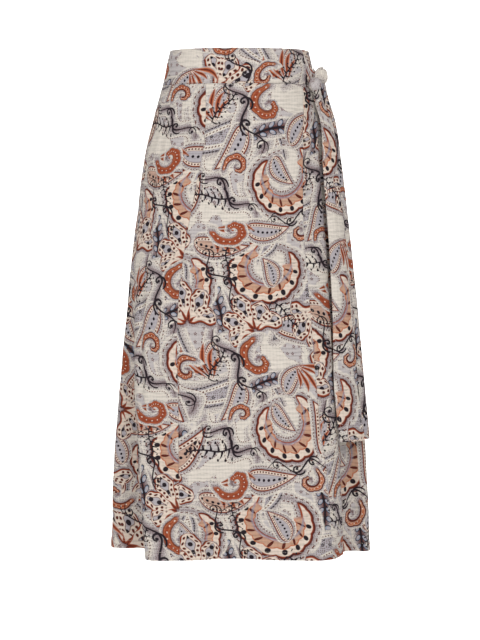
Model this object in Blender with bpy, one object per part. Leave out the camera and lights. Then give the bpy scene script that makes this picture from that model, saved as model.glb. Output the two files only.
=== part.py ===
"""Wrap skirt tied at the hip: its cut pieces as closed walls of cloth.

Metres, +Z up. The front faces -Y. The origin is the middle of the waist opening, level with the
waistband's top edge, so a height is given as a drop below it. The free edge of the wrap and its
tie are on the +X side, called the tie side; the other one is the plain side. An angle runs round
the skirt in degrees from the middle of the front, positive towards the tie side.
"""

import math

import bpy
import numpy as np

# --- driving sizes -----------------------------------------------------------------------------
LENGTH = 0.883  # waist edge to hem
BAND_HEIGHT = 0.062  # the shaped waistband
CLOTH = 0.0015  # wall of one crinkled cloth layer
BAND_WALL = 0.0022  # waistband: cloth, interfacing and cloth
TIE_WALL = 0.0020  # tie strip: cloth folded double
TIE_WIDTH = 0.054  # tie strip, across
NEARLY_FLAT = 0.985  # the most of its width that the strip shows, which keeps it a little bowed
SEAM_GAP = 0.0003  # between two pieces sewn together

# The smooth form under the folds: waist 0.68 m round, hip 0.93 m round at 0.20 m down.
FORM = (
    # drop, half width, half depth
    (0.000, 0.1228, 0.0905),
    (0.020, 0.1278, 0.0940),
    (0.052, 0.1338, 0.0985),
    (0.088, 0.1444, 0.1050),
    (0.125, 0.1540, 0.1120),
    (0.160, 0.1625, 0.1180),
    (0.195, 0.1695, 0.1235),
    (0.230, 0.1748, 0.1280),
    (0.265, 0.1790, 0.1315),
    (0.335, 0.1888, 0.1370),
    (0.405, 0.1965, 0.1415),
    (0.480, 0.2030, 0.1460),
    (0.550, 0.2095, 0.1500),
    (0.620, 0.2150, 0.1535),
    (0.700, 0.2195, 0.1565),
    (0.790, 0.2235, 0.1590),
    (0.883, 0.2265, 0.1610),
)

# The fall of the cloth: each row is a line down the skirt that leaves the smooth form at
# `starts` and reaches (hem x, hem y). `grows` above 1 keeps the fold shallow for longer.
FALL = (
    # line, angle, hem x, hem y, starts, grows
    ("back middle", -180, 0.0000, 0.160, 0.30, 1.2),
    ("back hollow, plain side", -160, -0.0620, 0.134, 0.30, 1.3),
    ("back fold, plain side", -138, -0.1220, 0.150, 0.30, 1.3),
    ("back quarter, plain side", -117, -0.1860, 0.098, 0.26, 1.2),
    ("plain side", -99, -0.2262, 0.030, 0.26, 1.2),
    ("side fold, plain side", -91, -0.2240, -0.040, 0.26, 1.2),
    ("side hollow, plain side", -84, -0.1620, -0.050, 0.25, 1.3),
    ("front fold, inner turn", -78, -0.1585, -0.128, 0.25, 1.3),
    ("front fold, plain side", -72, -0.1545, -0.158, 0.25, 1.3),
    ("front, plain side", -46, -0.1050, -0.163, 0.28, 1.2),
    ("front hollow", -8, -0.0120, -0.142, 0.34, 1.2),
    ("front, tie side", 30, 0.0880, -0.160, 0.30, 1.2),
    ("front fold, tie side", 52, 0.1490, -0.155, 0.28, 1.2),
    ("under the wrap's edge", 66, 0.1740, -0.099, 0.28, 1.2),
    ("side hollow, tie side", 76, 0.1930, -0.072, 0.28, 1.3),
    ("side fold, tie side", 86, 0.2255, -0.076, 0.28, 1.2),
    ("tie side", 99, 0.2262, 0.004, 0.26, 1.2),
    ("back quarter, tie side", 117, 0.1840, 0.094, 0.26, 1.2),
    ("back fold, tie side", 138, 0.1240, 0.147, 0.30, 1.3),
    ("back hollow, tie side", 160, 0.0600, 0.131, 0.30, 1.3),
)

PLAIN_SEAM = -97.0  # angle of the side seam on the plain side
TIE_SEAM = 93.0  # angle of the side seam on the tie side
TIE_HOLLOW = 76.0  # angle of the hollow beside the wrap's free edge
UNDER_EDGE = -62.0  # angle where the under front ends, beneath the wrap
LIFT_STARTS = -70.0  # angle by which the wrap lies fully over the under front

# Lines that run down the front, as the x where each crosses a drop.
FRONT_SEAM = ((0.062, -0.0580), (0.157, -0.0600), (0.243, -0.0755), (0.338, -0.0925),
              (0.436, -0.1045), (0.660, -0.1045), (0.883, -0.1026))
BAND_SEAM = ((0.062, 0.1110), (0.333, 0.1110), (0.436, 0.1195), (0.643, 0.1365),
             (0.746, 0.1480), (0.883, 0.1545))
WRAP_EDGE = ((0.062, 0.1275), (0.124, 0.1400), (0.246, 0.1490), (0.384, 0.1595),
             (0.545, 0.1635), (0.660, 0.1685), (0.883, 0.1760))

# How far the wrap lies out from the layer under it. What is added towards the hem grows on the
# way down, and what is added towards the free edge grows over the angles from EDGE_FROM.
LIFT_AT_WAIST = 0.0004
ADDED_AT_HEM = 0.0045
ADDED_AT_EDGE = 0.0035
EDGE_FROM, EDGE_TO = 20.0, 66.0

# The ends of the tie: each row gives the two sides of the strip as it is seen, and its depth as
# a share of a round roll's. The strip is rolled up where it is narrow and opens as it widens.
TIE_FRONT = (
    # drop, left x, left y, right x, right y, depth
    (0.066, 0.1250, -0.0640, 0.1420, -0.0500, 0.50),
    (0.084, 0.1270, -0.0660, 0.1450, -0.0510, 0.50),
    (0.125, 0.1390, -0.0680, 0.1600, -0.0480, 0.55),
    (0.200, 0.1425, -0.0800, 0.1700, -0.0540, 0.60),
    (0.335, 0.1530, -0.0990, 0.1865, -0.0640, 0.70),
    (0.470, 0.1595, -0.1150, 0.1995, -0.0830, 0.80),
    (0.600, 0.1625, -0.1300, 0.2085, -0.1010, 0.90),
    (0.682, 0.1715, -0.1330, 0.2190, -0.1080, 1.00),
)
TIE_BACK = (
    # drop, left x, left y, right x, right y, depth
    (0.050, 0.1395, -0.0400, 0.1500, -0.0240, 0.50),
    (0.078, 0.1445, -0.0400, 0.1550, -0.0240, 0.50),
    (0.125, 0.1540, -0.0420, 0.1680, -0.0240, 0.50),
    (0.200, 0.1655, -0.0470, 0.1785, -0.0270, 0.50),
    (0.335, 0.1800, -0.0560, 0.1945, -0.0340, 0.50),
    (0.470, 0.1900, -0.0680, 0.2085, -0.0440, 0.55),
    (0.600, 0.1965, -0.0820, 0.2185, -0.0570, 0.75),
    (0.668, 0.2000, -0.0880, 0.2230, -0.0620, 1.00),
)

# The knot's two lobes, from its middle: along the waist towards the back, out from the skin and
# up it, with the width and thickness of the bunched strip there.
KNOT_ANGLE, KNOT_DROP, KNOT_OUT = 68.0, 0.054, 0.0150
LOWER_LOBE = (
    # along, out, up, width, thickness
    (-0.0060, -0.0015, 0.0095, 0.0090, 0.0070),
    (-0.0080, 0.0005, 0.0050, 0.0200, 0.0150),
    (-0.0090, 0.0012, -0.0030, 0.0240, 0.0185),
    (-0.0090, 0.0006, -0.0110, 0.0210, 0.0150),
    (-0.0085, -0.0005, -0.0190, 0.0160, 0.0090),
)
UPPER_LOBE = (
    (-0.0065, -0.0005, 0.0145, 0.0080, 0.0060),
    (-0.0015, 0.0018, 0.0120, 0.0180, 0.0140),
    (0.0060, 0.0032, 0.0080, 0.0235, 0.0180),
    (0.0125, 0.0022, 0.0035, 0.0200, 0.0140),
    (0.0175, 0.0000, -0.0005, 0.0120, 0.0080),
)

# The strips that run into the knot, from the end of the waistband and from the side seam.
BAND_END = 61.0  # angle where the over part of the waistband is gathered into its strip
STRAND_OVER = (
    # angle, drop, out from the skin, width, thickness
    (61.4, 0.0330, 0.0016, 0.0520, 0.0022),
    (63.5, 0.0360, 0.0032, 0.0440, 0.0038),
    (66.0, 0.0430, 0.0052, 0.0300, 0.0060),
    (69.0, 0.0500, 0.0080, 0.0190, 0.0085),
)
STRAND_SIDE = (
    (93.0, 0.0360, 0.0022, 0.0300, 0.0030),
    (87.0, 0.0400, 0.0034, 0.0250, 0.0050),
    (81.0, 0.0460, 0.0056, 0.0200, 0.0075),
    (75.0, 0.0520, 0.0085, 0.0160, 0.0085),
)

# How finely the pieces are divided.
ROWS = 18  # rings between the waistband and the hem
BAND_ROWS = 2
TIE_ROWS = 16
TIE_COLUMNS = 9
BUNCH_RINGS = 10
BUNCH_SIDES = 14
HALVINGS = 40  # steps in which an angle is closed in on

CLOTH_COLOUR = (0.74, 0.69, 0.62, 1.0)
EDGE_COLOUR = (0.72, 0.66, 0.60, 1.0)


# --- curves and sections -----------------------------------------------------------------------
def smooth_table(rows, at):
    """The columns of a table at the keys `at`, on a smooth curve through its rows."""
    rows = np.asarray(rows, float)
    keys = rows[:, 0]
    at = np.clip(np.asarray(at, float), keys[0], keys[-1])
    slopes = np.gradient(rows[:, 1:], keys, axis=0)
    i = np.clip(np.searchsorted(keys, at, side="right") - 1, 0, len(keys) - 2)
    step = (keys[i + 1] - keys[i])[..., None]
    t = (at - keys[i])[..., None] / step
    rise = t * t * (3 - 2 * t)
    leave, arrive = t * (1 - t) ** 2 * step, t * t * (t - 1) * step
    bend = leave * slopes[i] + arrive * slopes[i + 1]
    return rows[i, 1:] * (1 - rise) + rows[i + 1, 1:] * rise + bend


def ease(t):
    """0 to 1 with soft ends."""
    t = np.clip(t, 0.0, 1.0)
    return t * t * (3 - 2 * t)


def on_form(angle, half):
    """Points of the smooth oval at angles, for its half width and half depth."""
    a = np.radians(angle)
    return np.stack((half[0] * np.sin(a), -half[1] * np.cos(a)), axis=-1)


LINE_ANGLES = np.array([row[1] for row in FALL], float)
LINE_HEM = np.array([row[2:4] for row in FALL], float)
LINE_STARTS = np.array([row[4] for row in FALL], float)
LINE_GROWS = np.array([row[5] for row in FALL], float)


def around(points, angle):
    """A closed, evenly rounded curve through one point for each line of FALL, at angles."""
    count = len(points)
    angle = (np.asarray(angle, float) + 180.0) % 360.0 - 180.0
    i = np.searchsorted(LINE_ANGLES, angle, side="right") - 1
    spans = np.append(LINE_ANGLES[1:], LINE_ANGLES[0] + 360.0) - LINE_ANGLES
    p = [points[(i + k) % count] for k in (-1, 0, 1, 2)]
    knots = [np.zeros(len(angle))]
    for k in range(3):
        knots.append(knots[-1] + np.sqrt(np.linalg.norm(p[k + 1] - p[k], axis=1)))
    at = knots[1] + (angle - LINE_ANGLES[i]) / spans[i] * (knots[2] - knots[1])

    def between(a, b, low, high):
        share = ((at - low) / (high - low))[:, None]
        return a * (1 - share) + b * share

    first = [between(p[k], p[k + 1], knots[k], knots[k + 1]) for k in range(3)]
    second = [between(first[k], first[k + 1], knots[k], knots[k + 2]) for k in range(2)]
    return between(second[0], second[1], knots[1], knots[2])


def section(angle, drop):
    """Where the skirt's skin crosses one height, at angles, as (x, y)."""
    drop = min(max(drop, 0.0), LENGTH)
    half = smooth_table(FORM, drop)
    plain = on_form(LINE_ANGLES, half)
    moved = LINE_HEM - on_form(LINE_ANGLES, np.array(FORM[-1][1:]))
    grown = np.clip((drop - LINE_STARTS) / (LENGTH - LINE_STARTS), 0.0, 1.0) ** LINE_GROWS
    fallen = plain + moved * grown[:, None]
    return on_form(angle, half) + around(fallen, angle) - around(plain, angle)


def skin(angle, drop, out=0.0):
    """Points of the skirt's skin at angles and one drop, moved outwards by `out`."""
    turn, step = 0.5, 0.002
    here = section(angle, drop)
    across = section(angle + turn, drop) - section(angle - turn, drop)
    down = section(angle, drop + step) - section(angle, drop - step)
    flat = np.zeros(len(here))
    across = np.column_stack((across, flat))
    down = np.column_stack((down, flat - 2 * step))
    normal = np.cross(down, across)
    normal /= np.linalg.norm(normal, axis=1)[:, None]
    return np.column_stack((here, flat - drop)) + normal * np.reshape(out, (-1, 1))


def angle_at(x, drop):
    """The angle on the front where the skin has this x."""
    low, high = UNDER_EDGE, TIE_HOLLOW
    for _ in range(HALVINGS):
        middle = (low + high) / 2
        if section(np.array([middle]), drop)[0, 0] < x:
            low = middle
        else:
            high = middle
    return (low + high) / 2


# --- closed bodies -----------------------------------------------------------------------------
def material(name, colour, roughness):
    """A plain cloth finish."""
    made = bpy.data.materials.new(name)
    made.use_nodes = True
    shader = made.node_tree.nodes["Principled BSDF"]
    shader.inputs["Base Color"].default_value = colour
    shader.inputs["Roughness"].default_value = roughness
    shader.inputs["Metallic"].default_value = 0.0
    return made


def add_body(name, points, faces, finish):
    """One named object from points and faces."""
    mesh = bpy.data.meshes.new(name)
    mesh.from_pydata([tuple(map(float, p)) for p in points], [], faces)
    mesh.materials.append(finish)
    mesh.update()
    mesh.shade_smooth()
    mesh.set_sharp_from_angle(angle=math.radians(50))
    body = bpy.data.objects.new(name, mesh)
    bpy.context.scene.collection.objects.link(body)
    return body


def wall(name, outer, inner, finish):
    """A wall between two grids of points, rows going down and columns towards the tie side."""
    rows, columns = outer.shape[:2]
    behind = rows * columns
    faces = []

    def add_quad(a, b, c, d):
        faces.extend(((a, b, c), (a, c, d)))

    for i in range(rows - 1):
        for j in range(columns - 1):
            a, b = i * columns + j, (i + 1) * columns + j
            add_quad(a, b, b + 1, a + 1)
            add_quad(behind + a, behind + a + 1, behind + b + 1, behind + b)
    top = [(j, 0) for j in range(columns)]
    tie_edge = [(columns - 1, i) for i in range(1, rows)]
    hem = [(j, rows - 1) for j in range(columns - 2, -1, -1)]
    plain_edge = [(0, i) for i in range(rows - 2, 0, -1)]
    rim = [i * columns + j for j, i in top + tie_edge + hem + plain_edge]
    for a, b in zip(rim, rim[1:] + rim[:1]):
        add_quad(a, b, behind + b, behind + a)
    points = np.concatenate((outer.reshape(-1, 3), inner.reshape(-1, 3)))
    return add_body(name, points, faces, finish)


def trim_sides(grid):
    """Draws a grid's first and last columns in by half a seam gap."""
    for edge, beside in ((0, 1), (-1, -2)):
        way = grid[:, beside] - grid[:, edge]
        grid[:, edge] += way / np.linalg.norm(way, axis=1)[:, None] * SEAM_GAP / 2
    return grid


def panel(name, drops, angles_at, height_at, thick, finish):
    """A wall on the skin: angles_at(drop) gives its columns, height_at its outer face's height."""
    outer, inner = [], []
    for drop in drops:
        angles = angles_at(drop)
        height = height_at(angles, drop)
        outer.append(skin(angles, drop, height))
        inner.append(skin(angles, drop, height - thick))
    return wall(name, trim_sides(np.array(outer)), trim_sides(np.array(inner)), finish)


# --- the cut of the skirt ----------------------------------------------------------------------
def fold_columns(first, last, parts):
    """Angles from first to last: every line of FALL between them, each gap in equal parts."""
    closest = 1.5
    turned = np.concatenate((LINE_ANGLES, LINE_ANGLES + 360.0))
    inside = [a for a in turned if first + closest < a < last - closest]
    stops = [first, *inside, last]
    columns = [np.linspace(a, b, parts, endpoint=False) for a, b in zip(stops, stops[1:])]
    return np.append(np.concatenate(columns), last)


def stretches(drop):
    """The columns of each stretch of the skirt at one drop, from the plain side seam round."""
    drop = max(drop, BAND_HEIGHT)
    seam, band, edge = (
        angle_at(smooth_table(line, drop)[0], drop) for line in (FRONT_SEAM, BAND_SEAM, WRAP_EDGE)
    )
    return {
        "side fold": fold_columns(PLAIN_SEAM, UNDER_EDGE, 3),
        "side front": np.linspace(UNDER_EDGE, seam, 5),
        "centre front": np.linspace(seam, band, 14),
        "edge band": np.linspace(band, edge, 4),
        "tie side": np.append(
            np.linspace(edge, TIE_HOLLOW, 4), fold_columns(TIE_HOLLOW, TIE_SEAM, 3)[1:]
        ),
        "back": fold_columns(TIE_SEAM, PLAIN_SEAM + 360.0, 3),
    }


def columns_of(*names):
    """A function that gives the joined columns of the named stretches at a drop."""

    def angles_at(drop):
        here = stretches(drop)
        parts = [here[name] for name in names]
        return np.concatenate([parts[0]] + [part[1:] for part in parts[1:]])

    return angles_at


def flush(angles, drop):
    """The outer face lies on the skin."""
    return np.zeros(len(angles))


def over_wall(thick):
    """The outer face of a layer over the under front, which meets the back at the plain seam."""

    def height_at(angles, drop):
        down = ease((drop - BAND_HEIGHT) / (LENGTH - BAND_HEIGHT))
        near_edge = ease((angles - EDGE_FROM) / (EDGE_TO - EDGE_FROM))
        lift = LIFT_AT_WAIST + (ADDED_AT_HEM + ADDED_AT_EDGE * near_edge) * down
        return (thick + lift) * ease((angles - PLAIN_SEAM) / (LIFT_STARTS - PLAIN_SEAM))

    return height_at


def make_skirt(finish):
    """Waistband and panels."""
    band = np.linspace(0.0, BAND_HEIGHT - SEAM_GAP / 2, BAND_ROWS + 1)
    fall = np.linspace(BAND_HEIGHT + SEAM_GAP / 2, LENGTH, ROWS + 1)
    over = over_wall(CLOTH)
    wrap = ("side front", "centre front", "edge band")
    panel("wrap_side_front", fall, columns_of("side fold", "side front"), over, CLOTH, finish)
    panel("wrap_centre_front", fall, columns_of("centre front"), over, CLOTH, finish)
    panel("wrap_edge_band", fall, columns_of("edge band"), over, CLOTH, finish)
    panel("under_front", fall, columns_of(*wrap, "tie side"), flush, CLOTH, finish)
    panel("back", fall, columns_of("back"), flush, CLOTH, finish)
    to_end = columns_of("side fold", "side front", "centre front")

    def over_columns(drop):
        front = to_end(drop)
        return np.append(front[front < BAND_END - 1.0], BAND_END)

    panel("waistband_over", band, over_columns, over_wall(BAND_WALL), BAND_WALL, finish)
    panel("waistband_under", band, columns_of(*wrap, "tie side"), flush, BAND_WALL, finish)
    panel("waistband_back", band, columns_of("back"), flush, BAND_WALL, finish)


# --- the tie -----------------------------------------------------------------------------------
def half_turn(share):
    """Half the angle of an arc whose seen width is `share` of its length."""
    if share < 2 / math.pi:
        return 1 / share
    low, high = 1e-3, math.pi / 2
    for _ in range(HALVINGS):
        middle = (low + high) / 2
        if math.sin(middle) / middle > share:
            low = middle
        else:
            high = middle
    return low


def tie_end(name, rows, finish):
    """A hanging end of the tie: a strip of constant width, rolled where it is narrow."""
    outer, inner = [], []
    for drop in np.linspace(rows[0][0], rows[-1][0], TIE_ROWS + 1):
        lx, ly, rx, ry, depth = smooth_table(rows, drop)
        left, right = np.array((lx, ly)), np.array((rx, ry))
        seen = np.linalg.norm(right - left)
        across = (right - left) / seen
        out = np.array((across[1], -across[0]))
        half = half_turn(min(seen / TIE_WIDTH, NEARLY_FLAT))
        radius = TIE_WIDTH / (2 * half)
        turn = np.linspace(-half, half, TIE_COLUMNS + 1)[:, None]
        base = (left + right) / 2

        def arc(r):
            bow = (r * np.cos(turn) - radius * max(math.cos(half), 0.0)) * depth
            flat = base + across * r * np.sin(turn) + out * bow
            return np.column_stack((flat, np.full(len(turn), -drop)))

        outer.append(arc(radius))
        inner.append(arc(radius - TIE_WALL / depth))
    return wall(name, np.array(outer), np.array(inner), finish)


def outward(angle, drop):
    """The skin's outward direction."""
    at = np.array([angle])
    return (skin(at, drop, 1.0) - skin(at, drop))[0]


def lobe_line(rows):
    """A lobe's rows as points, widths and thicknesses, with the way its width lies."""
    out = outward(KNOT_ANGLE, KNOT_DROP)
    along = np.cross((0.0, 0.0, 1.0), out)
    along /= np.linalg.norm(along)
    directions = np.array((along, out, np.cross(out, along)))
    middle = skin(np.array([KNOT_ANGLE]), KNOT_DROP, KNOT_OUT)[0]
    rows = np.array(rows)
    points = middle + rows[:, :3] @ directions
    side = np.cross(points[-1] - points[0], out)
    return np.column_stack((points, rows[:, 3:], np.tile(side, (len(rows), 1))))


def strand_line(rows):
    """A strand's rows, given on the skin, as points and sizes, with its width up the skin."""
    line = []
    for angle, drop, out, width, thick in rows:
        at = np.array([angle])
        up = skin(at, drop - 0.005)[0] - skin(at, drop + 0.005)[0]
        line.append(np.concatenate((skin(at, drop, out)[0], (width, thick), up)))
    return np.array(line)


def bunch(name, line, finish, grow=0.0):
    """A bunched stretch of the tie: oval rings along a smooth line, closed by flat ends."""
    steps = np.linalg.norm(np.diff(line[:, :3], axis=0), axis=1)
    keyed = np.column_stack((np.append(0.0, np.cumsum(steps)), line))
    places = smooth_table(keyed, np.linspace(0.0, keyed[-1, 0], BUNCH_RINGS + 1))
    path, sizes, side = places[:, :3], places[:, 3:5] / 2 + grow, places[:, 5:]
    way = np.gradient(path, axis=0)
    way /= np.linalg.norm(way, axis=1)[:, None]
    path[0] -= way[0] * grow
    path[-1] += way[-1] * grow
    side /= np.linalg.norm(side, axis=1)[:, None]
    front = np.cross(side, way)
    front /= np.linalg.norm(front, axis=1)[:, None]
    turn = np.linspace(0.0, 2 * math.pi, BUNCH_SIDES, endpoint=False)[:, None]
    rings = [
        path[i] + np.cos(turn) * side[i] * sizes[i, 0] + np.sin(turn) * front[i] * sizes[i, 1]
        for i in range(len(path))
    ]
    faces = []
    for i in range(BUNCH_RINGS):
        for j in range(BUNCH_SIDES):
            a, b = i * BUNCH_SIDES + j, i * BUNCH_SIDES + (j + 1) % BUNCH_SIDES
            c, d = b + BUNCH_SIDES, a + BUNCH_SIDES
            faces.extend(((a, c, b), (a, d, c)))
    last = BUNCH_RINGS * BUNCH_SIDES
    faces.append(tuple(range(BUNCH_SIDES)))
    faces.append(tuple(range(last + BUNCH_SIDES - 1, last - 1, -1)))
    return add_body(name, np.concatenate(rings), faces, finish)


def cut_clear(body, rows, finish):
    """Cuts a piece back from a lobe, with the gap that two touching pieces keep."""
    cutter = bunch(body.name + "_cutter", lobe_line(rows), finish, grow=SEAM_GAP * 1.3)
    cutter.hide_render = True
    cutter.display_type = "WIRE"
    cut = body.modifiers.new("clear of the knot", "BOOLEAN")
    cut.operation = "DIFFERENCE"
    cut.object = cutter


def make_tie(finish):
    """The knot, the strands that reach it and the two hanging ends."""
    bunch("knot_upper_lobe", lobe_line(UPPER_LOBE), finish)
    lower = bunch("knot_lower_lobe", lobe_line(LOWER_LOBE), finish)
    cut_clear(lower, UPPER_LOBE, finish)
    for name, rows in (("tie_strand_over", STRAND_OVER), ("tie_strand_side", STRAND_SIDE)):
        piece = bunch(name, strand_line(rows), finish)
        cut_clear(piece, UPPER_LOBE, finish)
        cut_clear(piece, LOWER_LOBE, finish)
    cut_clear(tie_end("tie_end_front", TIE_FRONT, finish), LOWER_LOBE, finish)
    cut_clear(tie_end("tie_end_back", TIE_BACK, finish), UPPER_LOBE, finish)


def main():
    for item in list(bpy.data.objects):
        bpy.data.objects.remove(item, do_unlink=True)
    make_skirt(material("printed_cloth", CLOTH_COLOUR, 0.85))
    make_tie(material("printed_cloth_tie", EDGE_COLOUR, 0.85))


main()
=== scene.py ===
"""Wrap skirt tied at the hip: its printed cloth, knot, ties and stitching, and a plain studio.

Laid out as a Blender add-on and run as a script. Metres, +Z up. The front faces -Y and the tie is
on the +X side. A drop is a height below the waist's top edge. An angle runs round the skirt in
degrees from the middle of the front, positive towards the tie. The skin is the form's outer face.
"""

import functools
import math
from collections import namedtuple

import bpy
import numpy as np
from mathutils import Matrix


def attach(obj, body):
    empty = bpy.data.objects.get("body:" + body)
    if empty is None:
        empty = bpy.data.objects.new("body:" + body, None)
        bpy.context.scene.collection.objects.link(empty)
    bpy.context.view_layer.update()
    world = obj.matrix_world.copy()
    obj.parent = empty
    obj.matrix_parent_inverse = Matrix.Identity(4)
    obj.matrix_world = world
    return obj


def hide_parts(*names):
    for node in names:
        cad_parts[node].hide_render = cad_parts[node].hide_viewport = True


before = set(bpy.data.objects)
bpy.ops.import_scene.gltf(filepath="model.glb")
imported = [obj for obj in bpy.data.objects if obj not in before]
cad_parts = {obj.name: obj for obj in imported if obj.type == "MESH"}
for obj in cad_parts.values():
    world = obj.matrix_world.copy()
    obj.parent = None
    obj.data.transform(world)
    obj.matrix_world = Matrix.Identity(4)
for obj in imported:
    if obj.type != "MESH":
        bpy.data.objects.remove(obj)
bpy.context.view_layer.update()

bl_info = {
    "name": "Wrap skirt",
    "version": (1, 0, 0),
    "blender": (4, 5, 0),
    "location": "3D View > Sidebar > Skirt",
    "description": "Lays the printed cloth, the knot and the stitching of a wrap skirt",
    "category": "Object",
}

# --- the cut, as the solids have it ---
LENGTH = 0.883  # waist edge to hem
BAND_HEIGHT = 0.062
CLOTH_WALL = 0.0015  # heights of the layers in the solids
BAND_WALL = 0.0022
TIE_WIDTH = 0.054
NEARLY_FLAT = 0.985  # share of the tie's width that shows where it hangs flattest
SEAM_GAP = 0.0003

FORM = (
    # drop, half width, half depth
    (0.000, 0.1228, 0.0905),
    (0.020, 0.1278, 0.0940),
    (0.052, 0.1338, 0.0985),
    (0.088, 0.1444, 0.1050),
    (0.125, 0.1540, 0.1120),
    (0.160, 0.1625, 0.1180),
    (0.195, 0.1695, 0.1235),
    (0.230, 0.1748, 0.1280),
    (0.265, 0.1790, 0.1315),
    (0.335, 0.1888, 0.1370),
    (0.405, 0.1965, 0.1415),
    (0.480, 0.2030, 0.1460),
    (0.550, 0.2095, 0.1500),
    (0.620, 0.2150, 0.1535),
    (0.700, 0.2195, 0.1565),
    (0.790, 0.2235, 0.1590),
    (0.883, 0.2265, 0.1610),
)
FALL = (
    # line, angle, hem x, hem y, starts, grows
    ("back middle", -180, 0.0000, 0.160, 0.30, 1.2),
    ("back hollow, plain side", -160, -0.0620, 0.134, 0.30, 1.3),
    ("back fold, plain side", -138, -0.1220, 0.150, 0.30, 1.3),
    ("back quarter, plain side", -117, -0.1860, 0.098, 0.26, 1.2),
    ("plain side", -99, -0.2262, 0.030, 0.26, 1.2),
    ("side fold, plain side", -91, -0.2240, -0.040, 0.26, 1.2),
    ("side hollow, plain side", -84, -0.1620, -0.050, 0.25, 1.3),
    ("front fold, inner turn", -78, -0.1585, -0.128, 0.25, 1.3),
    ("front fold, plain side", -72, -0.1545, -0.158, 0.25, 1.3),
    ("front, plain side", -46, -0.1050, -0.163, 0.28, 1.2),
    ("front hollow", -8, -0.0120, -0.142, 0.34, 1.2),
    ("front, tie side", 30, 0.0880, -0.160, 0.30, 1.2),
    ("front fold, tie side", 52, 0.1490, -0.155, 0.28, 1.2),
    ("under the wrap's edge", 66, 0.1740, -0.099, 0.28, 1.2),
    ("side hollow, tie side", 76, 0.1930, -0.072, 0.28, 1.3),
    ("side fold, tie side", 86, 0.2255, -0.076, 0.28, 1.2),
    ("tie side", 99, 0.2262, 0.004, 0.26, 1.2),
    ("back quarter, tie side", 117, 0.1840, 0.094, 0.26, 1.2),
    ("back fold, tie side", 138, 0.1240, 0.147, 0.30, 1.3),
    ("back hollow, tie side", 160, 0.0600, 0.131, 0.30, 1.3),
)
PLAIN_SEAM, TIE_SEAM, TIE_HOLLOW = -97.0, 93.0, 76.0
UNDER_EDGE, LIFT_STARTS, BAND_END = -62.0, -70.0, 61.0
FRONT_SEAM = ((0.062, -0.0580), (0.157, -0.0600), (0.243, -0.0755), (0.338, -0.0925),
              (0.436, -0.1045), (0.660, -0.1045), (0.883, -0.1026))
BAND_SEAM = ((0.062, 0.1110), (0.333, 0.1110), (0.436, 0.1195), (0.643, 0.1365),
             (0.746, 0.1480), (0.883, 0.1545))
WRAP_EDGE = ((0.062, 0.1275), (0.124, 0.1390), (0.246, 0.1465), (0.384, 0.1565),
             (0.545, 0.1608), (0.660, 0.1665), (0.883, 0.1760))
LIFT_AT_WAIST, ADDED_AT_HEM, ADDED_AT_EDGE = 0.0004, 0.0045, 0.0035
EDGE_FROM, EDGE_TO = 20.0, 66.0

TIE_FRONT = (
    # drop, left x, left y, right x, right y, depth
    (0.066, 0.1272, -0.0640, 0.1420, -0.0500, 0.50),
    (0.084, 0.1292, -0.0660, 0.1450, -0.0510, 0.50),
    (0.125, 0.1412, -0.0680, 0.1600, -0.0480, 0.55),
    (0.200, 0.1447, -0.0800, 0.1700, -0.0540, 0.60),
    (0.335, 0.1552, -0.0990, 0.1865, -0.0640, 0.70),
    (0.470, 0.1617, -0.1150, 0.1995, -0.0830, 0.80),
    (0.600, 0.1647, -0.1300, 0.2085, -0.1010, 0.90),
    (0.682, 0.1737, -0.1330, 0.2190, -0.1080, 1.00),
)
TIE_BACK = (
    (0.050, 0.1395, -0.0400, 0.1500, -0.0240, 0.50),
    (0.078, 0.1445, -0.0400, 0.1550, -0.0240, 0.50),
    (0.125, 0.1540, -0.0420, 0.1680, -0.0240, 0.50),
    (0.200, 0.1655, -0.0470, 0.1785, -0.0270, 0.50),
    (0.335, 0.1800, -0.0560, 0.1945, -0.0340, 0.50),
    (0.470, 0.1900, -0.0680, 0.2085, -0.0440, 0.55),
    (0.600, 0.1965, -0.0820, 0.2185, -0.0570, 0.75),
    (0.682, 0.2007, -0.0892, 0.2238, -0.0630, 1.00),
)
TIES = (
    # node, rows, height of the pleats, print shift, length of its cut, the pieces it is tied to
    ("tie_end_back", TIE_BACK, 0.0008, (0.31, 0.05), 0.632, ["knot_upper_lobe", "tie_strand_side"]),
    ("tie_end_front", TIE_FRONT, 0.0013, (0.09, 0.22), 0.618, ["knot_lower_lobe", "tie_strand_over"]),
)
KNOT_ANGLE, KNOT_DROP, KNOT_OUT = 68.0, 0.054, 0.0150
LOWER_LOBE = (
    # along, out, up, width, thickness
    (-0.0195, -0.0050, -0.0022, 0.0080, 0.0060),
    (-0.0165, -0.0040, -0.0052, 0.0205, 0.0165),
    (-0.0115, -0.0028, -0.0107, 0.0262, 0.0225),
    (-0.0065, -0.0028, -0.0167, 0.0225, 0.0180),
    (-0.0030, -0.0040, -0.0207, 0.0105, 0.0085),
)
UPPER_LOBE = (
    (-0.0085, -0.0015, 0.0040, 0.0085, 0.0070),
    (-0.0025, 0.0025, 0.0074, 0.0210, 0.0170),
    (0.0050, 0.0045, 0.0070, 0.0265, 0.0230),
    (0.0125, 0.0040, 0.0020, 0.0240, 0.0195),
    (0.0172, 0.0015, -0.0045, 0.0125, 0.0095),
)
STRAND_OVER = (
    # angle, drop, out from the skin, width, thickness
    (61.4, 0.0330, 0.0016, 0.0520, 0.0022),
    (63.5, 0.0360, 0.0032, 0.0440, 0.0038),
    (66.0, 0.0430, 0.0052, 0.0300, 0.0060),
    (69.0, 0.0500, 0.0080, 0.0190, 0.0085),
)
STRAND_SIDE = (
    (93.0, 0.0400, 0.0022, 0.0240, 0.0030),
    (87.0, 0.0440, 0.0034, 0.0200, 0.0050),
    (81.0, 0.0480, 0.0056, 0.0180, 0.0075),
    (75.0, 0.0520, 0.0085, 0.0160, 0.0085),
)
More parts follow.
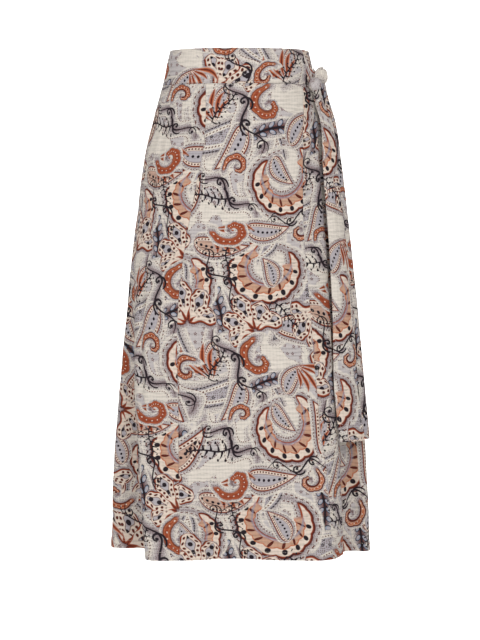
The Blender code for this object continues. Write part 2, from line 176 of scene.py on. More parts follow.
UPPER_PLEATS = (
    # place round the ring, half width, depth, drift along the bunch
    (0.2, 0.12, 0.07, 0.9), (0.9, 0.16, 0.13, -0.5), (1.7, 0.12, 0.06, 0.6), (2.4, 0.16, 0.18, 0.9),
    (3.3, 0.12, 0.09, -0.6), (4.0, 0.15, 0.15, 0.7), (4.8, 0.12, 0.07, -0.7), (5.6, 0.15, 0.13, 0.5),
)
LOWER_PLEATS = (
    (0.5, 0.14, 0.16, -0.9), (1.2, 0.12, 0.06, 0.5), (1.9, 0.16, 0.13, -0.8), (2.7, 0.13, 0.19, 0.7),
    (3.4, 0.14, 0.12, -0.9), (4.3, 0.13, 0.17, 0.9), (5.0, 0.12, 0.08, -0.4), (5.7, 0.14, 0.13, -0.6),
)
GATHERS = (
    (0.6, 0.18, 0.22, 0.2), (1.1, 0.15, 0.18, -0.1), (1.6, 0.16, 0.24, 0.1), (2.1, 0.15, 0.20, -0.2),
    (2.6, 0.16, 0.22, 0.1), (4.0, 0.20, 0.12, 0.0), (5.2, 0.20, 0.12, 0.0),
)

# --- seams, edges and the hem: how deep each dip is and how far it reaches ---
SEAM_DIP, SEAM_REACH = 0.0007, 0.0016
WAIST_DIP, WAIST_REACH = 0.0005, 0.0018
EDGE_ROLL, ROLL_REACH = 0.7, 0.0026  # the roll is a share of the layer's height
SEAM_MARGINS = (0.0012, 0.0032)  # the close points by each side of a piece
HEM_TURN = 0.016  # height of the turned-up hem
HEM_STEP, HEM_DOUBLE = 0.00035, 0.0006  # how far it stands out, and its added thickness
HEM_SOFT = 0.002  # over this height
HEM_ROUND, HEM_ROUND_REACH = 0.0003, 0.001

# the fold beside the tie, which comes in below the waistband and fades towards the hem
BESIDE_TIE, BESIDE_HALF, BESIDE_DEPTH = 0.7, 0.0032, 0.0090  # degrees in from the wrap's edge
BESIDE_STARTS, BESIDE_FULL, BESIDE_FADES, BESIDE_FADED, BESIDE_LOST = 0.09, 0.18, 0.66, 0.82, 0.8

# --- creases ---
# Soft troughs with a ridge on each side, from one place on the cloth to another.
CREASES = (
    # from angle, drop, to angle, drop, half width, depth
    # drags that reach the knot from the wrap
    (63, 0.072, 33, 0.128, 0.0040, 0.0016),
    (64, 0.080, 40, 0.160, 0.0050, 0.0020),
    (62, 0.068, 26, 0.098, 0.0035, 0.0012),
    (65, 0.092, 47, 0.200, 0.0055, 0.0022),
    (63, 0.110, 55, 0.245, 0.0060, 0.0018),
    (60, 0.066, 44, 0.083, 0.0030, 0.0011),
    # in the waistband, by the knot
    (60, 0.050, 46, 0.043, 0.0035, 0.0009),
    (60, 0.030, 49, 0.034, 0.0030, 0.0008),
    (60, 0.018, 52, 0.014, 0.0030, 0.0007),
    # the front
    (-30, 0.075, -38, 0.210, 0.0090, 0.0010),
    (-5, 0.200, 8, 0.390, 0.0120, 0.0012),
    (18, 0.180, 12, 0.330, 0.0100, 0.0010),
    (34, 0.300, 42, 0.560, 0.0120, 0.0018),
    (-52, 0.120, -60, 0.330, 0.0080, 0.0016),
    (-60, 0.330, -64, 0.700, 0.0100, 0.0030),
    (-38, 0.420, -30, 0.720, 0.0150, 0.0022),
    (10, 0.520, 16, 0.870, 0.0160, 0.0026),
    (-16, 0.600, -20, 0.880, 0.0140, 0.0024),
    (46, 0.640, 42, 0.880, 0.0120, 0.0022),
    (-68, 0.100, -74, 0.260, 0.0060, 0.0014),
    # the plain side
    (-86, 0.090, -88, 0.300, 0.0070, 0.0016),
    (-95, 0.070, -104, 0.240, 0.0060, 0.0013),
    (-104, 0.330, -108, 0.640, 0.0110, 0.0030),
    (-94, 0.560, -94, 0.860, 0.0100, 0.0026),
    # the tie side
    (72, 0.090, 74, 0.300, 0.0050, 0.0018),
    (80, 0.070, 84, 0.230, 0.0055, 0.0018),
    (88, 0.070, 98, 0.200, 0.0055, 0.0014),
    (70, 0.500, 71, 0.860, 0.0070, 0.0024),
    (81, 0.560, 81, 0.870, 0.0080, 0.0024),
    (105, 0.300, 110, 0.600, 0.0110, 0.0028),
    (96, 0.600, 94, 0.870, 0.0100, 0.0026),
    # the back
    (126, 0.070, 131, 0.230, 0.0070, 0.0013),
    (152, 0.068, 156, 0.190, 0.0080, 0.0010),
    (178, 0.075, 172, 0.260, 0.0100, 0.0010),
    (-153, 0.070, -158, 0.210, 0.0080, 0.0011),
    (-127, 0.072, -134, 0.250, 0.0070, 0.0014),
    (146, 0.350, 150, 0.640, 0.0140, 0.0022),
    (-148, 0.420, -152, 0.700, 0.0140, 0.0024),
    (170, 0.560, 168, 0.870, 0.0150, 0.0024),
    (-172, 0.500, -176, 0.800, 0.0140, 0.0020),
    (128, 0.600, 126, 0.870, 0.0130, 0.0026),
    (-126, 0.620, -125, 0.870, 0.0130, 0.0026),
)


# --- curves and sections ---
def smooth_table(rows, at):
    """The columns of a table at the keys `at`, on a smooth curve through its rows."""
    rows = np.asarray(rows, float)
    keys = rows[:, 0]
    at = np.clip(np.asarray(at, float), keys[0], keys[-1])
    slopes = np.gradient(rows[:, 1:], keys, axis=0)
    i = np.clip(np.searchsorted(keys, at, side="right") - 1, 0, len(keys) - 2)
    step = (keys[i + 1] - keys[i])[..., None]
    t = (at - keys[i])[..., None] / step
    rise = t * t * (3 - 2 * t)
    bend = t * (1 - t) ** 2 * step * slopes[i] + t * t * (t - 1) * step * slopes[i + 1]
    return rows[i, 1:] * (1 - rise) + rows[i + 1, 1:] * rise + bend


def ease(t):
    """0 to 1 with soft ends."""
    t = np.clip(t, 0.0, 1.0)
    return t * t * (3 - 2 * t)


def unit(vectors):
    """The same directions with length 1."""
    return vectors / np.linalg.norm(vectors, axis=-1, keepdims=True)


def hill(t):
    """A round hill, 1 at 0 and nearly 0 from 2 on."""
    return np.exp(-(t**2))


def half_circle(degrees):
    """The same angles, between -180 and 180."""
    return (np.asarray(degrees, float) + 180.0) % 360.0 - 180.0


def run_along(points):
    """How far along a line of points each one is."""
    return np.append(0.0, np.cumsum(np.linalg.norm(np.diff(points, axis=0), axis=1)))


LINE_ANGLES, _, _, LINE_STARTS, LINE_GROWS = np.array([row[1:] for row in FALL], float).T
LINE_HEM = np.array([row[2:4] for row in FALL], float)


def on_form(angle, half):
    """Points of the smooth oval at angles."""
    a = np.radians(angle)
    return np.stack((half[0] * np.sin(a), -half[1] * np.cos(a)), axis=-1)


def around(points, angle):
    """A closed, evenly rounded curve through one point for each line of FALL, at angles."""
    angle = half_circle(angle)
    i = np.searchsorted(LINE_ANGLES, angle, side="right") - 1
    spans = np.append(LINE_ANGLES[1:], LINE_ANGLES[0] + 360.0) - LINE_ANGLES
    p = [points[(i + k) % len(points)] for k in (-1, 0, 1, 2)]
    knots = [np.zeros(len(angle))]
    for k in range(3):
        knots.append(knots[-1] + np.sqrt(np.linalg.norm(p[k + 1] - p[k], axis=1)))
    at = knots[1] + (angle - LINE_ANGLES[i]) / spans[i] * (knots[2] - knots[1])

    def between(a, b, low, high):
        share = ((at - low) / (high - low))[:, None]
        return a * (1 - share) + b * share

    first = [between(p[k], p[k + 1], knots[k], knots[k + 1]) for k in range(3)]
    second = [between(first[k], first[k + 1], knots[k], knots[k + 2]) for k in range(2)]
    return between(second[0], second[1], knots[1], knots[2])


def section(angle, drop):
    """Where the skirt's skin crosses one height, at angles, as (x, y)."""
    drop = min(max(drop, 0.0), LENGTH)
    half = smooth_table(FORM, drop)
    plain = on_form(LINE_ANGLES, half)
    moved = LINE_HEM - on_form(LINE_ANGLES, np.array(FORM[-1][1:]))
    grown = np.clip((drop - LINE_STARTS) / (LENGTH - LINE_STARTS), 0.0, 1.0) ** LINE_GROWS
    fallen = plain + moved * grown[:, None]
    return on_form(angle, half) + around(fallen, angle) - around(plain, angle)


def skin(angle, drop, out=0.0):
    """Points of the skirt's skin at angles and one drop, moved outwards by `out`."""
    turn, step = 0.5, 0.002
    here = section(angle, drop)
    across = section(angle + turn, drop) - section(angle - turn, drop)
    down = section(angle, drop + step) - section(angle, drop - step)
    flat = np.zeros(len(here))
    outwards = np.cross(np.column_stack((down, flat - 2 * step)), np.column_stack((across, flat)))
    return np.column_stack((here, flat - drop)) + unit(outwards) * np.reshape(out, (-1, 1))


@functools.cache
def angle_at(line, drop):
    """The angle where a line down the front, given by its x, crosses a drop."""
    angles = np.linspace(UNDER_EDGE, TIE_HOLLOW, 600)
    return float(np.interp(smooth_table(line, drop)[0], section(angles, drop)[:, 0], angles))


def rumple(angle, drop):
    """How far the creases and the cloth's own unevenness move the skin outwards."""
    per_degree = smooth_table(FORM, drop)[0] * math.radians(1.0)
    turned = half_circle(angle)
    moved = np.zeros(len(turned))
    for a0, d0, a1, d1, wide, depth in CREASES:
        line = np.array((half_circle(a1 - a0) * per_degree, d1 - d0))
        length = np.linalg.norm(line)
        line /= length
        x, y = half_circle(turned - a0) * per_degree, drop - d0
        t = np.clip((x * line[0] + y * line[1]) / length, 0.0, 1.0)
        x, y = x - t * length * line[0], y - t * length * line[1]
        side = x * line[1] - y * line[0]
        beyond = np.hypot(x, y) - np.abs(side)
        d = (side + 0.04 * length * np.sin(math.pi * t)) / wide  # the line is a little bowed
        shape = 0.5 * hill(d - 1.7) + 0.5 * hill(d + 1.7) - hill(d)
        moved += depth * shape * np.sin(math.pi * (0.06 + 0.88 * t)) ** 0.8 * hill(beyond / wide)
    beside = (turned - angle_at(WRAP_EDGE, drop) + BESIDE_TIE) * per_degree / BESIDE_HALF
    kept = ease((drop - BESIDE_STARTS) / (BESIDE_FULL - BESIDE_STARTS))
    kept *= 1 - BESIDE_LOST * ease((drop - BESIDE_FADES) / (BESIDE_FADED - BESIDE_FADES))
    moved -= BESIDE_DEPTH * hill(beside) * kept
    a = np.radians(turned)
    wide, fine = 0.0007 * ease((drop - 0.10) / 0.5), 0.0004
    moved += wide * np.sin(17 * a + 9.0 * drop) * np.sin(21.0 * drop + 3 * a)
    moved += fine * np.sin(31 * a - 26.0 * drop) * np.sin(38.0 * drop + 5 * a + 1.0)
    return moved


def layer_height(angles, drop, wall):
    """The outer face of a layer over the under front, which meets the back at the plain seam. A wall
    of 0 is the skin itself."""
    if not wall:
        return np.zeros(len(angles))
    down = ease((drop - BAND_HEIGHT) / (LENGTH - BAND_HEIGHT))
    near_edge = ease((angles - EDGE_FROM) / (EDGE_TO - EDGE_FROM))
    lift = LIFT_AT_WAIST + (ADDED_AT_HEM + ADDED_AT_EDGE * near_edge) * down
    return (wall + lift) * ease((angles - PLAIN_SEAM) / (LIFT_STARTS - PLAIN_SEAM))


# --- the pieces of cloth ---
class Cut(namedtuple("Cut", "node first last wall grain shift edges width area hangs_from")):
    """One piece on the skin. `first` and `last` are its sides, each an angle or a line of the front,
    and `wall` is its layer's, or 0 on the skin itself. The print hangs straight at the share `grain`
    of its width and is moved by `shift`. `edges` has s for a seam and f for a fold. `width` and
    `area` are those of its flat cut, and it `hangs_from` other pieces."""

    def ends(self, drop):
        """The angles of its two sides at a drop."""
        return [angle_at(side, drop) if isinstance(side, tuple) else side for side in (self.first, self.last)]


ROUND_THE_BACK = TIE_SEAM, PLAIN_SEAM + 360.0
ON_BACK, ON_UNDER, ON_TOP = ["waistband_back"], ["waistband_under"], ["waistband_over"]
PANELS = (
    Cut("back", *ROUND_THE_BACK, 0, 0.5, (0.11, 0.23), "ss", 0.672, 0.436, ON_BACK),
    Cut("under_front", UNDER_EDGE, TIE_SEAM, 0, 0.8, (0.40, 0.07), "fs", 0.463, 0.361, ON_UNDER),
    Cut("wrap_side_front", PLAIN_SEAM, FRONT_SEAM, CLOTH_WALL, 1.0, (0.02, 0.31), "ss", 0.284, 0.171, ON_TOP),
    Cut("wrap_centre_front", FRONT_SEAM, BAND_SEAM, CLOTH_WALL, 0.5, (0.0, 0.0), "ss", 0.266, 0.186, ON_TOP),
    Cut("wrap_edge_band", BAND_SEAM, WRAP_EDGE, CLOTH_WALL, 0.0, (0.27, 0.12), "sf", 0.058, 0.0445, ON_TOP),
)
TIED_ON = [*ON_BACK, "knot_upper_lobe"]
BANDS = (
    Cut("waistband_back", *ROUND_THE_BACK, 0, 0.5, (0.33, 0.17), "ss", 0.356, 0.0210, []),
    Cut("waistband_under", UNDER_EDGE, TIE_SEAM, 0, 0.5, (0.05, 0.41), "fs", 0.329, 0.0194, ON_BACK),
    Cut("waistband_over", PLAIN_SEAM, BAND_END, BAND_WALL, 0.5, (0.16, 0.36), "sf", 0.334, 0.0197, TIED_ON),
)


def place(name, data):
    """A new object in the scene."""
    made = bpy.data.objects.new(name, data)
    bpy.context.scene.collection.objects.link(made)
    return made


def make_mesh(name, points, quads, plan, finish, wrong_side):
    """An object from points and quads, with each point's place on the flat cloth as its UV."""
    mesh = bpy.data.meshes.new(name)
    mesh.from_pydata(points.tolist(), [], quads.tolist())
    mesh.materials.append(finish)
    turned = mesh.attributes.new("wrong_side", "FLOAT", "FACE")
    turned.data.foreach_set("value", np.asarray(wrong_side, np.float32))
    corners = np.empty(len(mesh.loops), np.int32)
    mesh.loops.foreach_get("vertex_index", corners)
    mesh.uv_layers.new(name="Flat cloth").data.foreach_set("uv", plan[corners].ravel())
    mesh.update()
    mesh.shade_smooth()
    mesh.set_sharp_from_angle(angle=math.radians(50))
    return place(name, mesh)


def shell(name, outer, plan, thick, finish):
    """A thin closed shell of cloth under a grid of points: rows go down, columns to the tie side."""
    rows, columns = outer.shape[:2]
    inward = -unit(np.cross(np.gradient(outer, axis=0), np.gradient(outer, axis=1)))
    inner = outer + inward * np.reshape(thick, (-1, 1, 1))
    points = np.concatenate((outer.reshape(-1, 3), inner.reshape(-1, 3)))
    number = np.arange(rows * columns).reshape(rows, columns)
    corners = number[:-1, :-1], number[1:, :-1], number[1:, 1:], number[:-1, 1:]
    face = np.stack(corners, axis=-1).reshape(-1, 4)
    behind = rows * columns
    rim = np.concatenate((number[0], number[1:, -1], number[-1, -2::-1], number[-2:0:-1, 0]))
    after = np.roll(rim, -1)
    edge = np.stack((rim, after, behind + after, behind + rim), axis=-1)
    quads = np.concatenate((face, edge, behind + face[:, ::-1]))
    kinds = np.concatenate((np.zeros(len(face) + len(edge)), np.ones(len(face))))
    flat = plan.reshape(-1, 2)
    return make_mesh(name, points, quads, np.concatenate((flat, flat)), finish, kinds)


def spaced(ends, drop, count):
    """Angles evenly spaced along the cloth at one drop, with two close ones by each side, and how
    far along the cloth each one is."""
    dense = np.linspace(*ends, 700)
    run = run_along(section(dense, drop))
    near = np.array(SEAM_MARGINS)
    along = np.sort(np.concatenate((np.linspace(0.0, run[-1], count), near, run[-1] - near)))
    return np.interp(along, run, dense), along


def in_hem(drop):
    """0 above the turned-up hem and 1 in it."""
    return ease((HEM_TURN + HEM_SOFT / 2 - (LENGTH - drop)) / HEM_SOFT)


def panel(piece, drops, thick, finish):
    """The shell of one piece of cloth, with its top and bottom at the first and the last drop."""
    cut = bpy.context.scene.skirt_cut
    widths = [run_along(section(np.linspace(*piece.ends(drop), 700), drop))[-1] for drop in drops[[0, -1]]]
    count = int(max(widths) / cut.cell) + 1
    hemmed = drops[-1] == LENGTH
    outer, plan = [], []
    for drop in drops:
        angles, along = spaced(piece.ends(drop), drop, count)
        raised = layer_height(angles, drop, piece.wall)
        out = raised + rumple(angles, drop) * cut.creases
        for edge, beside in zip(piece.edges, (along, along[-1] - along)):
            if edge == "s":
                out -= SEAM_DIP * hill(beside / SEAM_REACH)
            elif hemmed:
                out -= EDGE_ROLL * raised * hill(beside / ROLL_REACH)
        out -= WAIST_DIP * hill((drop - BAND_HEIGHT) / WAIST_REACH)
        if hemmed:
            out += HEM_STEP * in_hem(drop) - HEM_ROUND * hill((LENGTH - drop) / HEM_ROUND_REACH)
        row = skin(angles, drop, out)
        way = unit(row[1] - row[0]), unit(row[-1] - row[-2])
        row[0] += way[0] * SEAM_GAP / 2
        row[-1] -= way[1] * SEAM_GAP / 2
        outer.append(row)
        plan.append(np.column_stack((along - along[-1] * piece.grain, np.full(len(along), -drop))))
    plan = np.array(plan) + np.array(piece.shift)
    return shell("cloth_" + piece.node, np.array(outer), plan, thick + HEM_DOUBLE * in_hem(drops), finish)


def drops_between(first, last, cell, close=()):
    """Drops from first to last about a cell apart, with close ones by the edges and at `close`."""
    even = np.linspace(first, last, int((last - first) / cell) + 2)
    return np.unique(np.concatenate((even, (first + 0.0012, first + 0.0030, last - 0.0010, *close))))


# --- the tie ---
def half_turn(share):
    """Half the angle of an arc whose seen width is `share` of its length."""
    if share < 2 / math.pi:
        return 1 / share
    low, high = 1e-3, math.pi / 2
    for _ in range(40):
        middle = (low + high) / 2
        if math.sin(middle) / middle > share:
            low = middle
        else:
            high = middle
    return low


def tie_face(rows, ripple):
    """The outer face of a hanging end of the tie, a strip rolled where it is narrow, with pleats
    from the knot, and how far across and down the strip each of its points is."""
    cell = bpy.context.scene.skirt_cut.cell * 0.7
    gathered, gathered_down = 0.0016, 0.045  # the gathers at the knot fade out below it
    first, last = rows[0][0], rows[-1][0]
    across_share = np.linspace(-1.0, 1.0, 27)
    outer, plan = [], []
    for drop in np.linspace(first, last, int((last - first) / cell) + 2):
        lx, ly, rx, ry, depth = smooth_table(rows, drop)
        left, right = np.array((lx, ly)), np.array((rx, ry))
        seen = np.linalg.norm(right - left)
        across = (right - left) / seen
        out = np.array((across[1], -across[0]))
        half = half_turn(min(seen / TIE_WIDTH, NEARLY_FLAT))
        radius = TIE_WIDTH / (2 * half)
        turn = half * across_share
        fallen = (drop - first) / (last - first)
        wave = math.pi * across_share
        pleat = ripple * (1 - 0.75 * ease(fallen * 1.1)) * np.cos(2.6 * wave + 2.0 + 5.0 * fallen)
        pleat += 0.35 * ripple * np.cos(5.2 * wave + 0.6 - 3.0 * fallen) * (1 - 0.6 * fallen)
        pleat *= 1 - 0.5 * across_share**4
        gather = math.exp(-((drop - first) / gathered_down))
        pleat += gathered * gather * np.cos(9.0 * wave + 1.0)
        across = across * (1 - 0.50 * gather)
        r = radius + pleat
        bow = (r * np.cos(turn) - radius * max(math.cos(half), 0.0)) * depth
        flat = (left + right) / 2 + across * (r * np.sin(turn))[:, None] + out * bow[:, None]
        down = np.full(len(turn), -drop)
        outer.append(np.column_stack((flat, down)))
        plan.append(np.column_stack((across_share * TIE_WIDTH / 2, down)))
    return np.array(outer), np.array(plan)


# --- nodes ---
class Nodes:
    """The nodes of one tree."""

    def __init__(self, tree):
        self.tree = tree

    def add(self, kind, settings, inputs):
        """One node: its settings first, then what its sockets get."""
        node = self.tree.nodes.new(kind)
        for name, value in settings.items():
            setattr(node, name, value)
        for key, value in inputs.items():
            self.feed(node.inputs[key], value)
        return node

    def feed(self, socket, value):
        """Links a socket to another one or to an Amount, or sets its value."""
        value = getattr(value, "socket", value)
        if isinstance(value, bpy.types.NodeSocket):
            self.tree.links.new(value, socket)
        else:
            socket.default_value = value

    def math(self, operation, *values, clamp=False):
        settings = {"operation": operation, "use_clamp": clamp}
        node = self.add("ShaderNodeMath", settings, dict(enumerate(values)))
        return Amount(self, node.outputs[0])


class Amount:
    """A number that varies from point to point. Arithmetic on it adds Math nodes to its tree."""

    def __init__(self, nodes, socket):
        self.nodes, self.socket = nodes, socket

    def math(self, operation, *others, clamp=False):
        return self.nodes.math(operation, self, *others, clamp=clamp)

    def __add__(self, other):
        return self.math("ADD", other)

    def __mul__(self, other):
        return self.math("MULTIPLY", other)

    def __sub__(self, other):
        return self.math("SUBTRACT", other)

    def __rsub__(self, other):
        return self.nodes.math("SUBTRACT", other, self)

    def __truediv__(self, other):
        return self.math("DIVIDE", other)

    def __rtruediv__(self, other):
        return self.nodes.math("DIVIDE", other, self)

    __radd__, __rmul__ = __add__, __mul__

    def __abs__(self):
        return self.math("ABSOLUTE")

    def sine(self):
        return self.math("SINE")

    def root(self):
        """The square root, or 0 below 0."""
        return self.math("SQRT")

    def part(self):
        """What is past the last whole number."""
        return self.math("FRACT")

    def whole(self):
        """The nearest whole number."""
        return self.math("ROUND")

    def larger(self, other):
        return self.math("MAXIMUM", other)

    def smaller(self, other):
        return self.math("MINIMUM", other)

    def inside(self, soft=0.012):
        """1 where this is above 0 and 0 where it is below, over a soft edge."""
        return self.math("MULTIPLY_ADD", 1.0 / soft, 0.5, clamp=True)

    def within(self, half, soft=0.012):
        """1 where this is nearer than `half` to 0, over a soft edge."""
        return (half - abs(self)).inside(soft)


# --- sewing ---
def face_at(angles, drop, wall):
    """Points on the face of a layer at one drop, and the way out of the cloth there."""
    out = rumple(angles, drop) * bpy.context.scene.skirt_cut.creases + layer_height(angles, drop, wall)
    if LENGTH - drop < HEM_TURN:
        out += HEM_STEP
    points = skin(angles, drop, out)
    return points, unit(skin(angles, drop, out + 0.001) - points)


def row_across(piece, drop):
    """A sewn row across a piece at one drop."""
    return face_at(np.linspace(*piece.ends(drop), 400), drop, piece.wall)


def row_down(line, aside, wall):
    """A sewn row down the front beside a line, `aside` degrees from it."""
    drops = np.linspace(BAND_HEIGHT + 0.003, LENGTH - 0.004, 200)
    both = [face_at(np.array([angle_at(line, drop) + aside]), drop, wall) for drop in drops]
    return [np.concatenate(values) for values in zip(*both)]


def tie_rows(outer):
    """The sewn rows near the two long edges and the end of a tie."""
    out = unit(np.cross(np.gradient(outer, axis=0), np.gradient(outer, axis=1)))
    return [(outer[:, 2], out[:, 2]), (outer[:, -3], out[:, -3]), (outer[-3], out[-3])]


def stitch_tree():
    """Nodes that put a stitch on each point, along its `way` and upright on its `out`."""
    tree = bpy.data.node_groups.get("Stitches")
    if tree is not None:
        return tree
    tree = bpy.data.node_groups.new("Stitches", "GeometryNodeTree")
    for name, kind, value in (
        ("Rows", "Geometry", None),
        ("Stitch length", "Float", 0.0023),
        ("Thread thickness", "Float", 0.0004),
        ("Unevenness", "Float", 0.12),
        ("Seed", "Int", 7),
        ("Thread", "Material", None),
    ):
        socket = tree.interface.new_socket(name, in_out="INPUT", socket_type="NodeSocket" + kind)
        if value is not None:
            socket.default_value = value
    tree.interface.new_socket("Stitches", in_out="OUTPUT", socket_type="NodeSocketGeometry")
    nodes = Nodes(tree)
    given = nodes.add("NodeGroupInput", {}, {}).outputs

    def aligned(name, axis, pivot, before):
        read = nodes.add("GeometryNodeInputNamedAttribute", {"data_type": "FLOAT_VECTOR"}, {"Name": name})
        inputs = {"Vector": read.outputs["Attribute"], **before}
        turned = nodes.add("FunctionNodeAlignRotationToVector", {"axis": axis, "pivot_axis": pivot}, inputs)
        return turned.outputs["Rotation"]

    upright = aligned("out", "X", "Z", {"Rotation": aligned("way", "Z", "AUTO", {})})
    shortest = 1.0 - Amount(nodes, given["Unevenness"])
    inputs = {2: shortest, 3: 1.0, "Seed": given["Seed"]}
    chance = nodes.add("FunctionNodeRandomValue", {"data_type": "FLOAT"}, inputs).outputs[1]
    length = Amount(nodes, given["Stitch length"]) * chance
    thick = given["Thread thickness"]
    size = nodes.add("ShaderNodeCombineXYZ", {}, {0: thick, 1: thick, 2: length}).outputs[0]
    ball = nodes.add("GeometryNodeMeshUVSphere", {}, {"Segments": 6, "Rings": 4, "Radius": 0.5})
    stitch = nodes.add("GeometryNodeSetShadeSmooth", {}, {0: ball.outputs["Mesh"]}).outputs[0]
    inputs = {"Points": given["Rows"], "Instance": stitch, "Rotation": upright, "Scale": size}
    placed = nodes.add("GeometryNodeInstanceOnPoints", {}, inputs).outputs[0]
    real = nodes.add("GeometryNodeRealizeInstances", {}, {0: placed}).outputs[0]
    inputs = {"Geometry": real, "Material": given["Thread"]}
    done = nodes.add("GeometryNodeSetMaterial", {}, inputs).outputs[0]
    nodes.add("NodeGroupOutput", {}, {0: done})
    return tree


def sampled(values, run, at):
    """The values of a line of points at distances along it."""
    return np.column_stack([np.interp(at, run, column) for column in values.T])


def sew(name, rows):
    """One piece with the stitches of some rows."""
    sewing = bpy.context.scene.skirt_sewing
    rest = 0.003  # left unsewn at each end of a row
    points, ways, outs = [], [], []
    for line, out in rows:
        run = run_along(line)
        at = rest + sewing.pitch * (np.arange(int((run[-1] - 2 * rest) / sewing.pitch)) + 0.5)
        here, up = sampled(line, run, at), unit(sampled(out, run, at))
        points.append(here + up * sewing.thread * 0.15)
        ways.append(unit(sampled(line, run, at + 0.001) - here))
        outs.append(up)
    mesh = bpy.data.meshes.new(name)
    mesh.from_pydata(np.concatenate(points).tolist(), [], [])
    for label, values in (("way", ways), ("out", outs)):
        layer = mesh.attributes.new(label, "FLOAT_VECTOR", "POINT")
        layer.data.foreach_set("vector", np.concatenate(values).astype(np.float32).ravel())
    piece = place(name, mesh)
    modifier = piece.modifiers.new("Stitches", "NODES")
    modifier.node_group = stitch_tree()
    values = {"Stitch length": sewing.length, "Thread thickness": sewing.thread, "Thread": thread()}
    for item in modifier.node_group.interface.items_tree:
        if item.name in values:
            modifier[item.identifier] = values[item.name]
    seen = piece.evaluated_get(bpy.context.evaluated_depsgraph_get())
    plain = bpy.data.meshes.new_from_object(seen)
    piece.modifiers.remove(modifier)
    piece.data = plain
    plain.name = name
    plain.materials.pop(index=0)  # the empty slot that the ball came with
    bpy.data.meshes.remove(mesh)
    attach(piece, "root")
    return piece


# --- the knot ---
def lobe_line(rows):
    """A lobe's rows as points, widths and thicknesses, with the way its width lies."""
    at = np.array([KNOT_ANGLE])
    middle = skin(at, KNOT_DROP, KNOT_OUT)[0]
    out = (skin(at, KNOT_DROP, 1.0) - skin(at, KNOT_DROP))[0]
    along = unit(np.cross((0.0, 0.0, 1.0), out))
    rows = np.array(rows)
    points = middle + rows[:, :3] @ np.array((along, out, np.cross(out, along)))
    side = np.cross(points[-1] - points[0], out)
    return np.column_stack((points, rows[:, 3:], np.tile(side, (len(rows), 1))))


def strand_line(rows):
    """A strand's rows, given on the skin, as points and sizes, with its width up the skin."""
    line = []
    for angle, drop, out, width, thick in rows:
        at = np.array([angle])
        up = skin(at, drop - 0.005)[0] - skin(at, drop + 0.005)[0]
        line.append(np.concatenate((skin(at, drop, out)[0], (width, thick), up)))
    return np.array(line)


def bunch(name, line, pleats, shift, finish):
    """A bunched stretch of the tie: rings along a smooth line with pleats running its length."""
    rings, sides = 34, 72
    keyed = np.column_stack((run_along(line[:, :3]), line))
    at = np.linspace(0.0, keyed[-1, 0], rings + 1)
    places = smooth_table(keyed, at)
    path, sizes, side = places[:, :3], places[:, 3:5] / 2, unit(places[:, 5:])
    front = unit(np.cross(side, unit(np.gradient(path, axis=0))))
    turn = np.linspace(0.0, 2 * math.pi, sides, endpoint=False)
    t = np.linspace(0.0, 1.0, rings + 1)[:, None]
    grow = np.ones((rings + 1, sides))
    for where, wide, depth, drift in pleats:
        off = (turn[None, :] - where - drift * (t - 0.5) + math.pi) % (2 * math.pi) - math.pi
        grow -= depth * (hill(off / wide) - 0.35 * hill((off - 2 * wide) / wide))
    across = np.cos(turn)[None, :, None] * side[:, None] * sizes[:, None, :1]
    raised = np.sin(turn)[None, :, None] * front[:, None] * sizes[:, None, 1:]
    points = (path[:, None] + (across + raised) * grow[..., None]).reshape(-1, 3)
    number = np.arange((rings + 1) * sides).reshape(rings + 1, sides)
    after = np.roll(number, -1, axis=1)
    quads = np.stack((number[:-1], number[1:], after[1:], after[:-1]), axis=-1).reshape(-1, 4)
    # each end is closed by quads that share its middle and three points of its ring
    ring = np.stack([np.roll(number, -k, axis=1)[:, ::2] for k in range(3)], axis=-1)
    first = np.insert(ring[0], 0, len(points), axis=1)
    last = np.insert(ring[-1][:, ::-1], 0, len(points) + 1, axis=1)
    quads = np.concatenate((quads, np.stack((first, last), axis=1).reshape(-1, 4)))
    wound, down = np.meshgrid(turn / (2 * math.pi) * TIE_WIDTH * 0.9, -at)
    flat = np.stack((wound, down), axis=-1).reshape(-1, 2) + np.array(shift)
    points = np.concatenate((points, path[[0, -1]]))
    flat = np.concatenate((flat, flat[[0, -1]]))
    return make_mesh(name, points, quads, flat, finish, np.zeros(len(quads)))


# --- finish ---
INK = {
    "ivory": (219, 210, 199),
    "lavender": (177, 170, 174),
    "stone": (118, 102, 96),
    "peach": (194, 154, 130),
    "shell": (222, 205, 190),
    "orange": (187, 106, 71),
    "rust": (149, 72, 49),
    "brown": (92, 42, 34),
    "slate": (138, 146, 164),
    "night": (42, 35, 40),
}
TILE = (0.42, 0.54)  # the print's repeat, across and down
RIBS, FINE_RIBS, CHECKS, YARNS = 0.0070, 0.0026, 0.0055, 0.0011  # from one to the next in the cloth

# Where each motif stands in the repeat: middle x, y, turn, size, side, tone.
RIBBONS = (
    (0.030, 0.190, 70, 0.115, 1, 0.0),
    (-0.150, -0.030, 100, 0.110, -1, 0.3),
    (0.150, -0.020, 25, 0.105, 1, 0.6),
    (-0.040, -0.210, -20, 0.115, -1, 0.9),
    (0.190, 0.230, 130, 0.100, 1, 0.3),
)
CRESCENTS = (
    (0.055, 0.064, 81, 0.088, -1, 0.6),
    (0.070, 0.266, 280, 0.084, 1, 0.3),
    (-0.140, 0.026, 281, 0.076, 1, 0.0),
)
FANS = (
    (0.183, -0.175, 202, 0.092, -1, 0.3),
    (-0.124, -0.061, 280, 0.088, -1, 0.3),
    (0.209, 0.133, 353, 0.084, 1, 0.3),
    (0.159, -0.022, 93, 0.080, -1, 0.9),
    (0.023, -0.076, 115, 0.076, 1, 0.0),
)
FLAMES = (
    (-0.083, 0.153, 147, 0.088, -1, 0.0),
    (-0.089, -0.179, 273, 0.084, -1, 0.3),
    (0.110, -0.135, 128, 0.080, -1, 0.3),
)
